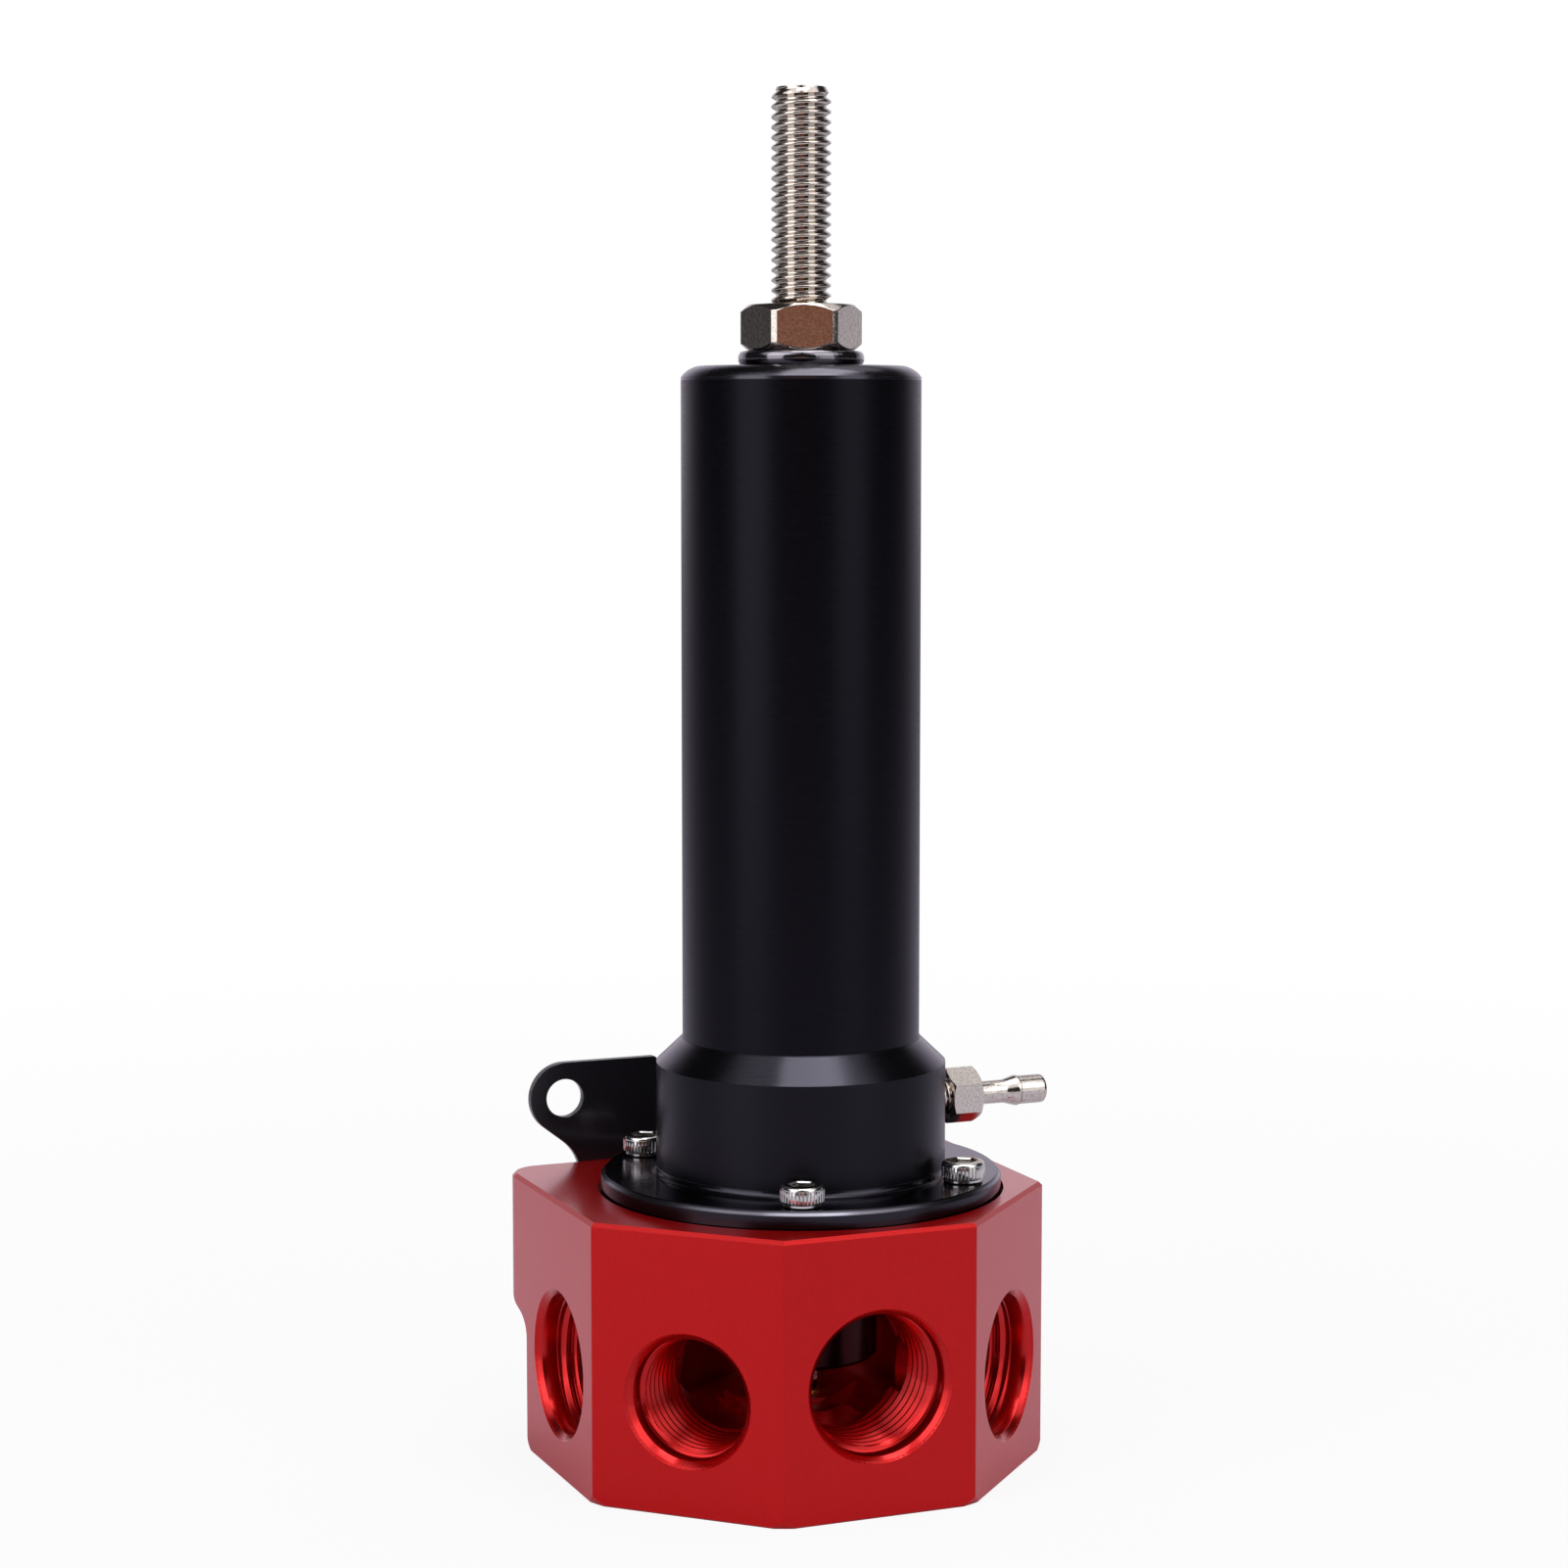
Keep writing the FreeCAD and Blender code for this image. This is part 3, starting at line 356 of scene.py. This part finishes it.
# The valve holder's colour is painted shade and a painted red reflection of the chamber's walls round it: a
# dull dark metal tinted red
HOLDER_PAINTED_SHADE = grained("aluminium_dark_painted_shade_red", "#2C1113", metallic=1.0, roughness=0.24, size=0.8,
                      depth=0.002, rough=(0.2, 0.28), squeeze=(1.0, 1.0, 5.0))

# Bare turned aluminium of the spring cap and diaphragm plate: pale grey with turning lines
BARE_TURNED = grained("aluminium_bare_turned", "#8D888A", metallic=1.0, roughness=0.28, size=0.8,
                      depth=0.003, rough=(0.2, 0.36), squeeze=(1.0, 1.0, 6.0))

# Zinc plate on the diaphragm's washer and nut: pale and satin
ZINC = grained("steel_zinc_plated", "#B4B6B4", metallic=1.0, roughness=0.32, size=0.6, depth=0.003,
               rough=(0.26, 0.4))

# Oil-tempered spring wire: grey and dull
SPRING_WIRE = grained("steel_spring_wire", "#6E6F73", metallic=1.0, roughness=0.38, size=0.5, depth=0.004,
                      rough=(0.3, 0.48))

# Free-cutting brass of the valve's seat: yellow, with a turned sheen
BRASS = grained("brass_turned", "#C79A4B", metallic=1.0, roughness=0.26, size=0.5, depth=0.002,
                rough=(0.2, 0.34))

# Nitrile rubber of the seal: black and matt
RUBBER = grained("nitrile_rubber_moulded", "#17171A", metallic=0.0, roughness=0.6, size=0.4, depth=0.01,
                 rough=(0.5, 0.7))

# Rubberised fabric of the diaphragm: black, matt and a little coarse
FABRIC_RUBBER = grained("rubberised_fabric", "#1D1D20", metallic=0.0, roughness=0.7, size=0.5, depth=0.02,
                        rough=(0.6, 0.8))


# Inner pieces and bracket washers stay as they are in CAD, and take only their finish
CAD_FINISH = {
    "diaphragm": FABRIC_RUBBER, "diaphragm_plate": BARE_TURNED, "diaphragm_washer": ZINC,
    "diaphragm_nut": ZINC, "valve_stem": STAINLESS, "valve_ball": STAINLESS, "valve_seat": BRASS,
    "main_spring": SPRING_WIRE, "spring_cap": BARE_TURNED, "thrust_ball": STAINLESS, "screw_seal": RUBBER,
    "bracket_washers": STAINLESS}
for node, material in CAD_FINISH.items():
    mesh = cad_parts[node].data
    mesh.materials.clear()
    mesh.materials.append(material)

# Block, housing, bracket and valve holder keep the CAD form. The bracket's cut edges are rounded.
SHEET_EDGE = 0.25
from_cad("port_block", "ported_block", HOUSING, RED_MILLED)
from_cad("spring_housing", "housing_tube", HOUSING, BLACK_TURNED)
from_cad("mounting_bracket", "bracket_plate", HOUSING, BLACK_SHEET,
         edge_round=SHEET_EDGE)
# The valve holder's dark red colour is painted shade and painted reflection
from_cad("valve_holder", "hanging_holder", "valve_assembly", HOLDER_PAINTED_SHADE)


# Port threads. Pitches are those of 7/8-14, 3/4-16 and 9/16-18 straight threads. Mouth, wall and crest
# are radii, and end is how deep the thread goes.
BLOCK_CENTRE = (-1.7, 3.0)
BLOCK_APOTHEM = 38.8
LARGE_THREAD = {"pitch": INCH / 14, "mouth": 12.05, "wall": 11.1525, "crest": 10.28, "end": 15.157}
SMALL_THREAD = {"pitch": INCH / 16, "mouth": 10.65, "wall": 9.565, "crest": 8.78, "end": 15.345}
RETURN_THREAD = {"pitch": INCH / 18, "mouth": 8.25, "wall": 7.184, "crest": 6.5, "end": 8.126}
# Each port: thread, azimuth of its face in degrees, height of its axis
PORTS = ((LARGE_THREAD, 180, 18.2), (SMALL_THREAD, 225, 18.2), (LARGE_THREAD, 270, 20.6),
         (LARGE_THREAD, 315, 18.2))
THREAD_START = 3.6
WALL_LAYER = 0.09
ROOT_GAP = 0.05
SLEEVE_DEPTH = 0.12


def thread_sleeve(size):
    """A port's mouth and thread, along -Z from the block's face: a 45 degree countersink, a plain wall,
    a ledge, then the screw surface; behind them a ring that stays in the metal."""
    theta = angles(ROUND_STEPS)
    bottom = -size["end"]
    root = size["wall"] - ROOT_GAP
    wall = size["wall"] - WALL_LAYER
    mouth = size["mouth"]
    sunk = mouth - wall
    lead_step = 0.25
    rows = []
    for radius, height in thread_rows(theta, bottom, -THREAD_START, size["pitch"], size["crest"], root):
        lead_in = wall - lead_step + (THREAD_START + height)
        rows.append((np.maximum(radius, lead_in), height))
    ledge = [(wall - 0.2, -THREAD_START), (wall, -THREAD_START + 0.12)]
    countersink = [(wall, -sunk - 0.1), (wall + 0.1, -sunk + 0.08)]
    rim = [(mouth - 0.08, -0.08), (mouth - 0.02, -0.008)]
    outer = size["wall"] + SLEEVE_DEPTH
    back = [(mouth + 0.2, -0.2), (outer + 0.4, -1.9), (outer, -2.5), (outer, bottom)]
    return rows_to_points([(outer, bottom)] + rows + ledge + countersink + rim + back, theta)


ports = []
for size, angle, height in PORTS:
    normal = (math.cos(math.radians(angle)), math.sin(math.radians(angle)), 0.0)
    x = BLOCK_CENTRE[0] + BLOCK_APOTHEM * normal[0]
    y = BLOCK_CENTRE[1] + BLOCK_APOTHEM * normal[1]
    ports.append(laid(thread_sleeve(size), (x, y, height), normal))
piece("port_threads", ports, HOUSING, RED_THREAD)
piece("return_port_thread", [laid(thread_sleeve(RETURN_THREAD), (0, 0, 0), (0, 0, -1))], HOUSING,
      RED_THREAD)


# Adjusting screw: 3/8-16 from end to end
SCREW_STEPS = 72
SCREW_PITCH = INCH / 16
SCREW_RADIUS = 4.725
SCREW_ROOT = 4.0
SCREW_BOTTOM = 144.09
SCREW_TOP = 219.6
SCREW_CHAMFER = 0.95
TOP_CHAMFER = 0.8
TOP_CHAMFER_SLOPE = 0.5
SOCKET_FLATS = 4.76
SOCKET_DEPTH = 5.0


def socket_rows(theta, flats, top, depth):
    """A hexagon socket sunk from a flat top, its edge broken, with a drilled cone at its floor."""
    edge_break = 0.18
    drill_radius = flats * 0.3
    drill_point = flats * 0.12
    side = hexagon_radius(theta, flats)
    return [(side + edge_break, top), (side, top - edge_break), (side, top - depth),
            (drill_radius, top - depth), (0.0, top - depth - drill_point)]


def screw_shape():
    """The set screw: thread from end to end, both ends chamfered, the top one steeper, socket in the
    top. A chamfer holds the radius under its own at the end plus its slope times the way in."""
    theta = angles(SCREW_STEPS)
    rows = [(0.0, SCREW_BOTTOM)]
    for radius, height in thread_rows(theta, SCREW_BOTTOM, SCREW_TOP, SCREW_PITCH, SCREW_RADIUS, SCREW_ROOT):
        lower = SCREW_RADIUS - SCREW_CHAMFER + (height - SCREW_BOTTOM)
        upper = SCREW_RADIUS - TOP_CHAMFER + (SCREW_TOP - height) * TOP_CHAMFER_SLOPE
        rows.append((np.minimum(radius, np.minimum(lower, upper)), height))
    rows += socket_rows(theta, SOCKET_FLATS, SCREW_TOP, SOCKET_DEPTH)
    return rows_to_points(rows, theta)


piece("threaded_adjuster", [screw_shape()], "adjusting_screw", NICKEL, ("adjusting_screw",))


# Jam nut and its washer, on the tube's top
TUBE_TOP = 176.15
WASHER_TOP = 178.5
NUT_TOP = 185.8
NUT_FLATS = 17.1
NUT_FACET = 11.1
NUT_CORNER = 9.6
NUT_SLOPE = 40.0
NUT_SHARP_FROM = 20.0


def nut_angles():
    """Angles round the nut: even steps on each facet, and the two edges and middle of each corner."""
    corner_edge = math.degrees(math.acos(NUT_FLATS / 2 / NUT_CORNER))
    on_facet = [-corner_edge, -20, -10, 0, 10, 20, corner_edge, 30]
    turns = [NUT_FACET + 60 * facet + step for facet in range(6) for step in on_facet]
    return np.radians(np.array(turns + turns[:1]) + np.array([0.0] * len(turns) + [360.0]))


def nut_shape():
    """The jam nut: a hexagon whose corners are turned to a narrow band. Each end's cone meets the
    flats in the usual arcs: the drop is the distance out from the face times the cone's slope."""
    theta = nut_angles()
    bore = SCREW_RADIUS + 0.05
    bore_chamfer = 0.8
    face = NUT_FLATS / 2 - 0.25
    side = np.minimum(hexagon_radius(theta, NUT_FLATS, NUT_FACET), NUT_CORNER)
    drop = (side - face) * math.tan(math.radians(NUT_SLOPE))
    soft = 0.12
    rows = [
        (bore, WASHER_TOP + bore_chamfer), (bore + bore_chamfer, WASHER_TOP), (face - soft, WASHER_TOP),
        (face + soft, WASHER_TOP + soft * 0.8), (side - soft * 0.4, WASHER_TOP + drop),
        (side, WASHER_TOP + drop + soft), (side, NUT_TOP - drop - soft), (side - soft * 0.4, NUT_TOP - drop),
        (face + soft, NUT_TOP - soft * 0.8), (face - soft, NUT_TOP), (bore + bore_chamfer, NUT_TOP),
        (bore, NUT_TOP - bore_chamfer), (bore, WASHER_TOP + bore_chamfer)]
    return rows_to_points(rows, theta)


piece("locking_nut", [nut_shape()], "jam_nut", NICKEL_SPECKED, ("jam_nut",),
      sharp=NUT_SHARP_FROM)


def washer_shape():
    """The stamped washer: a rim rounded as half an ellipse, and a face that dips twice by a sine as it
    goes round."""
    theta = angles(ROUND_STEPS)
    bore = 5.1
    rim_centre = 9.2
    rim_bulge = 0.8
    deepest = 0.03
    dips = 2
    first_dip = 0.6
    dip = deepest * np.sin(dips * theta + first_dip)
    middle = (TUBE_TOP + WASHER_TOP) / 2
    half = (WASHER_TOP - TUBE_TOP) / 2
    rows = [(bore, TUBE_TOP)]
    rows += [(rim_centre + rim_bulge * math.cos(a), middle + half * math.sin(a))
             for a in np.radians(np.linspace(-90, 90, 13))]
    rows += [(8.0, WASHER_TOP + dip - deepest), (bore + 0.3, WASHER_TOP), (bore, WASHER_TOP - 0.3),
             (bore, TUBE_TOP)]
    return rows_to_points(rows, theta)


piece("stamped_washer", [washer_shape()], HOUSING, WASHER_STEEL_PAINTED_DARK, ("nut_washer",))


# Socket head cap screws and their split lock washers. They stand in two opposite pairs on a circle, and
# the angles of the pairs are in degrees from -Y towards +X.
SCREW_CIRCLE = 27.7
PAIR_ANGLES = (-22.3, 45.8)
FLANGE_TOP = 47.4
LOCK_WASHER_TOP = 48.1
HEAD_RADIUS = 3.45
HEAD_HEIGHT = 2.65
HEAD_ROUND = 0.58
HEAD_FLATS = 3.57
HEAD_SOCKET = 1.1
KNURLS = 36
KNURL_STEPS = 8
KNURL_DEPTH = 0.26
KNURL_START = 0.3
KNURL_END = 1.83
SHANK_RADIUS = 2.05
SHANK_LENGTH = 15.875
SHANK_CHAMFER = 0.4


def cap_screw_shape():
    """A cap screw standing on the origin: shank, knurled head whose rim rounds over, socket. A knurl is
    a groove by the square of the cosine, with as much plain rim between two of them."""
    theta = angles(KNURLS * KNURL_STEPS)
    grooved = HEAD_RADIUS - KNURL_DEPTH * np.maximum(np.cos(KNURLS * theta), 0.0) ** 2
    shoulder = HEAD_RADIUS - 0.06
    shank = [(0.0, -SHANK_LENGTH), (SHANK_RADIUS - SHANK_CHAMFER, -SHANK_LENGTH),
             (SHANK_RADIUS, -SHANK_LENGTH + SHANK_CHAMFER), (SHANK_RADIUS, 0.0)]
    foot = [(HEAD_RADIUS - 0.45, 0.0), (HEAD_RADIUS - 0.1, 0.14)]
    side = [(grooved, KNURL_START), (grooved, KNURL_END), (shoulder, KNURL_END + 0.16)]
    rim = arc_rows((shoulder - HEAD_ROUND, HEAD_HEIGHT - HEAD_ROUND), HEAD_ROUND, 0, 90, 7)
    socket = socket_rows(theta, HEAD_FLATS, HEAD_HEIGHT, HEAD_SOCKET)
    return rows_to_points(shank + foot + side + rim + socket, theta)


def split_washer_shape():
    """A split lock washer: a barrel-sided section carried round all but the gap. Going round, its foot
    rises over the second half, and its top comes up over the first."""
    half_gap = 6
    rise = 0.15
    bore = 2.15
    edge = 3.0
    belly = 3.16
    belly_half = 0.15
    foot = 0.04
    top = 0.69
    theta = np.radians(np.linspace(half_gap, 360 - half_gap, 60))
    climb = rise * (theta / FULL_TURN - 0.5)
    low = foot + np.maximum(climb, 0)
    high = top + np.minimum(climb, 0)
    middle = (low + high) / 2
    rows = [(bore, low), (edge, low), (belly, middle - belly_half), (belly, middle + belly_half),
            (edge, high), (bore, high), (bore, low)]
    ring = rows_to_points(rows, theta)
    ends = [np.stack([ring[[0, 1, 2], column], ring[[5, 4, 3], column]]) for column in (0, -1)]
    return [ring] + ends


places = []
for first in PAIR_ANGLES:
    for turn in (0, 180):
        angle = math.radians(first + turn)
        places.append((SCREW_CIRCLE * math.sin(angle), -SCREW_CIRCLE * math.cos(angle)))
piece("cap_screws", [laid(cap_screw_shape(), (x, y, LOCK_WASHER_TOP), (0, 0, 1)) for x, y in places],
      HOUSING, STAINLESS, ("flange_screws",))
piece("lock_washers", [laid(grid, (x, y, FLANGE_TOP), (0, 0, 1)) for x, y in places
                       for grid in split_washer_shape()],
      HOUSING, STAINLESS, ("flange_washers",))


# Vacuum fitting along +X, lengths from the housing's axis: neck in the wall, hexagon, stem and barb
BARB_HEIGHT = 57.2
BARB_BORE = 0.8
NECK_START = 16.8
NECK_RADIUS = 3.0
NECK_CREST = 3.08
NECK_ROOT = 2.6
NECK_PITCH = INCH / 27
HEX_START = 25.6
HEX_END = 30.9
HEX_FLATS = 8.0
HEX_FACET = 30.0
STEM_RADIUS = 1.9
CONE_START = 36.1
RIM_RADIUS = 2.5
RIM_START = 38.3
GROOVE_RADIUS = 2.2
TIP_RADIUS = 2.36
TIP_ROUND = 0.64
BARB_END = 43.5


def barb_shape():
    """The hose fitting, along +Z from the housing's axis: neck thread, hexagon with turned corners,
    stem with a fillet, cone up to a rim, groove, and a tip that rounds over."""
    theta = angles(ROUND_STEPS)
    hexagon = hexagon_radius(theta, HEX_FLATS, HEX_FACET)
    flat_face = HEX_FLATS / 2 + 0.05
    corner_slope = 0.6
    drop = np.maximum(hexagon - flat_face, 0.0) * corner_slope
    fillet = 0.4
    rows = [(BARB_BORE, NECK_START), (NECK_RADIUS, NECK_START)]
    rows += thread_rows(theta, NECK_START + 0.1, HEX_START - 0.2, NECK_PITCH, NECK_CREST, NECK_ROOT)
    rows += [(NECK_RADIUS, HEX_START), (flat_face, HEX_START), (hexagon, HEX_START + drop),
             (hexagon, HEX_END - drop), (flat_face - 0.1, HEX_END), (STEM_RADIUS + fillet, HEX_END)]
    rows += arc_rows((STEM_RADIUS + fillet, HEX_END + fillet), fillet, -90, -180, 4)
    rows += [(STEM_RADIUS, CONE_START), (STEM_RADIUS + 0.07, CONE_START + 0.3),
             (RIM_RADIUS - 0.08, RIM_START - 0.3), (RIM_RADIUS, RIM_START), (RIM_RADIUS, RIM_START + 0.25),
             (GROOVE_RADIUS, RIM_START + 0.3), (GROOVE_RADIUS, RIM_START + 0.45),
             (TIP_RADIUS, RIM_START + 0.5), (TIP_RADIUS, BARB_END - 0.9)]
    rows += arc_rows((TIP_RADIUS - TIP_ROUND, BARB_END - TIP_ROUND), TIP_ROUND, 0, 90, 6)
    rows += [(BARB_BORE + 0.2, BARB_END), (BARB_BORE, BARB_END - 0.2), (BARB_BORE, NECK_START)]
    return rows_to_points(rows, theta)


piece("vacuum_fitting", [laid(barb_shape(), (0, 0, BARB_HEIGHT), (1, 0, 0))], HOUSING,
      NICKEL_SPECKED, ("vacuum_barb",))


# Button head screws on the back of the bracket
BRACKET_SCREW_PLACES = ((-19.0, 33.0), (19.0, 33.0))
BRACKET_HEAD_SEAT = 33.2
BUTTON_RADIUS = 4.6
BUTTON_HEIGHT = 2.6
BUTTON_RIM = 0.15
BUTTON_SHANK = 2.4
BUTTON_LENGTH = 9.5
BUTTON_FLATS = 3.2
BUTTON_SOCKET = 1.6


def button_screw_shape():
    """A button head screw on the origin: shank, domed head, socket. Going up the dome, the radius drops
    with the square of the height above the rim."""
    theta = angles(ROUND_STEPS)
    dome = BUTTON_HEIGHT - BUTTON_RIM
    shank_chamfer = 0.4
    rows = [(0.0, -BUTTON_LENGTH), (BUTTON_SHANK - shank_chamfer, -BUTTON_LENGTH),
            (BUTTON_SHANK, -BUTTON_LENGTH + shank_chamfer), (BUTTON_SHANK, 0.0), (BUTTON_RADIUS - 0.1, 0.0),
            (BUTTON_RADIUS, BUTTON_RIM)]
    rows += [(BUTTON_RADIUS - dome * s * s, BUTTON_RIM + dome * s) for s in np.linspace(0.1, 1.0, 9)]
    rows += socket_rows(theta, BUTTON_FLATS, BUTTON_HEIGHT, BUTTON_SOCKET)
    return rows_to_points(rows, theta)


piece("button_screws", [laid(button_screw_shape(), (x, BRACKET_HEAD_SEAT, z), (0, 1, 0))
                        for x, z in BRACKET_SCREW_PLACES],
      HOUSING, STAINLESS, ("bracket_screws",))


# Camera, in metres: the photograph's view, from round to the left of the front and looking a little down
PHOTO_TURN = -22.5
PHOTO_DROP = 5.59
camera = bpy.data.objects.new("camera", bpy.data.cameras.new("camera"))
camera.location = (-0.2119, -0.5045, 0.1662)
camera.rotation_euler = Euler((math.radians(90 - PHOTO_DROP), 0.0, math.radians(PHOTO_TURN)))
camera.data.sensor_width = 36.0
camera.data.lens = 78.92
camera.data.shift_y = -0.0116
camera.data.clip_start = 0.01
bpy.context.scene.collection.objects.link(camera)
bpy.context.scene.camera = camera
bpy.context.scene.view_settings.view_transform = "Standard"


# Floor: pale, nearly white to the eye. The camera is shown even white in place of most of the lit paper,
# so only a faint shadow is left near the part, and none far off.
FLOOR_REACH = 6.0
SHADOW_NEAR = 0.05
SHADOW_FAR = 0.6
WHITE_NEAR = 0.9
corners = [(x * FLOOR_REACH, y * FLOOR_REACH, 0) for x, y in ((-1, -1), (1, -1), (1, 1), (-1, 1))]
floor_mesh = bpy.data.meshes.new("floor")
floor_mesh.from_pydata(corners, [], [(0, 1, 2, 3)])
floor = bpy.data.objects.new("floor", floor_mesh)
bpy.context.scene.collection.objects.link(floor)
floor_paper, tree, shader = finish_material("backdrop_paper_white", "#EBE8F6", metallic=0.0, roughness=0.9)
rays = add(tree, "ShaderNodeLightPath")
place = add(tree, "ShaderNodeTexCoord")
distance = add(tree, "ShaderNodeVectorMath", settings={"operation": "LENGTH"},
               links={0: place.outputs["Object"]})
share = add(tree, "ShaderNodeMapRange", settings={"interpolation_type": "SMOOTHSTEP"},
            values={"From Min": SHADOW_NEAR, "From Max": SHADOW_FAR, "To Min": WHITE_NEAR, "To Max": 1.0},
            links={"Value": distance.outputs["Value"]})
glow = add(tree, "ShaderNodeEmission", values={"Color": (1, 1, 1, 1), "Strength": 1.0})
shown = add(tree, "ShaderNodeMath", settings={"operation": "MULTIPLY"},
            links={0: rays.outputs["Is Camera Ray"], 1: share.outputs["Result"]})
mixed = add(tree, "ShaderNodeMixShader", links={
    0: shown.outputs[0], 1: shader.outputs[0], 2: glow.outputs[0]})
tree.links.new(mixed.outputs[0], tree.nodes["Material Output"].inputs["Surface"])
floor_mesh.materials.append(floor_paper)


def toward(azimuth, elevation):
    """The unit vector of a direction given by its azimuth from +X and its elevation, in degrees."""
    around = math.radians(azimuth)
    up = math.radians(elevation)
    return (math.cos(up) * math.cos(around), math.cos(up) * math.sin(around), math.sin(up))


# World: white where the camera looks past the part, an even fill for what is matt, and for gloss a dim
# studio with panels in it
SOFT_FILL = 0.35
STUDIO_DARK = (0.036, 0.034, 0.034, 1)
COPPER = (0.36, 0.15, 0.09, 1)
PAPER = (0.95, 0.91, 1.0, 1)
WINDOW = (1, 0.97, 1, 1)
PANELS = (
    # direction, its dot product with a ray where the panel begins and where it is full, colour, strength:
    # copper screen in front, paper behind and below, high windows to the left, the right and behind
    ((-0.3827, -0.9239, 0.0), 0.96, 0.985, COPPER, 0.85),
    ((0.3827, 0.9239, -0.45), 0.33, 0.78, PAPER, 0.87),
    (toward(195, 48), 0.82, 0.94, WINDOW, 1.45),
    (toward(300, 48), 0.82, 0.94, WINDOW, 1.45),
    (toward(44, 58), 0.95, 0.98, WINDOW, 0.9))
world = bpy.data.worlds.new("studio")
bpy.context.scene.world = world
world.use_nodes = True
tree = world.node_tree
tree.nodes.clear()
rays = add(tree, "ShaderNodeLightPath")
place = add(tree, "ShaderNodeTexCoord")
seen_in_metal = add(tree, "ShaderNodeBackground", values={"Color": STUDIO_DARK, "Strength": 1.0})
for direction, begins, full, colour, strength in PANELS:
    facing = add(tree, "ShaderNodeVectorMath", settings={"operation": "DOT_PRODUCT"},
                 values={1: direction}, links={0: place.outputs["Generated"]})
    share = add(tree, "ShaderNodeMapRange", settings={"interpolation_type": "SMOOTHSTEP"},
                values={"From Min": begins, "From Max": full}, links={"Value": facing.outputs["Value"]})
    panel = add(tree, "ShaderNodeBackground", values={"Color": colour, "Strength": strength})
    seen_in_metal = add(tree, "ShaderNodeMixShader", links={
        0: share.outputs["Result"], 1: seen_in_metal.outputs[0], 2: panel.outputs[0]})
soft_fill = add(tree, "ShaderNodeBackground", values={"Color": (1, 1, 1, 1), "Strength": SOFT_FILL})
plain_white = add(tree, "ShaderNodeBackground", values={"Color": (1, 1, 1, 1), "Strength": 1.0})
with_gloss = add(tree, "ShaderNodeMixShader", links={
    0: rays.outputs["Is Glossy Ray"], 1: soft_fill.outputs[0], 2: seen_in_metal.outputs[0]})
direct = add(tree, "ShaderNodeMath", settings={"operation": "MAXIMUM"},
             links={0: rays.outputs["Is Camera Ray"], 1: rays.outputs["Is Transmission Ray"]})
everything = add(tree, "ShaderNodeMixShader", links={
    0: direct.outputs[0], 1: with_gloss.outputs[0], 2: plain_white.outputs[0]})
add(tree, "ShaderNodeOutputWorld", links={"Surface": everything.outputs[0]})


# Lamps, in metres and watts, all aimed at the middle of the part
AIM = Vector((0, 0, 0.11))


def softbox(name, side_angle, height, distance, width, tall, power):
    """A soft studio lamp at an angle from the camera's side of the part, positive to the right."""
    turn = math.radians(PHOTO_TURN) + math.radians(side_angle)
    place = Vector((math.sin(turn) * distance, -math.cos(turn) * distance, height))
    data = bpy.data.lights.new(name, "AREA")
    data.shape = "RECTANGLE"
    data.size = width
    data.size_y = tall
    data.energy = power
    lamp = bpy.data.objects.new(name, data)
    lamp.location = place
    lamp.rotation_euler = (AIM - place).to_track_quat("-Z", "Y").to_euler()
    bpy.context.scene.collection.objects.link(lamp)


softbox("softbox_left", side_angle=-48, height=0.5, distance=0.9, width=0.6, tall=1.3, power=4.1)
softbox("softbox_right", side_angle=49, height=0.5, distance=1.0, width=0.6, tall=1.3, power=2.7)
softbox("softbox_above", side_angle=70, height=0.9, distance=0.1, width=0.6, tall=0.4, power=3.0)
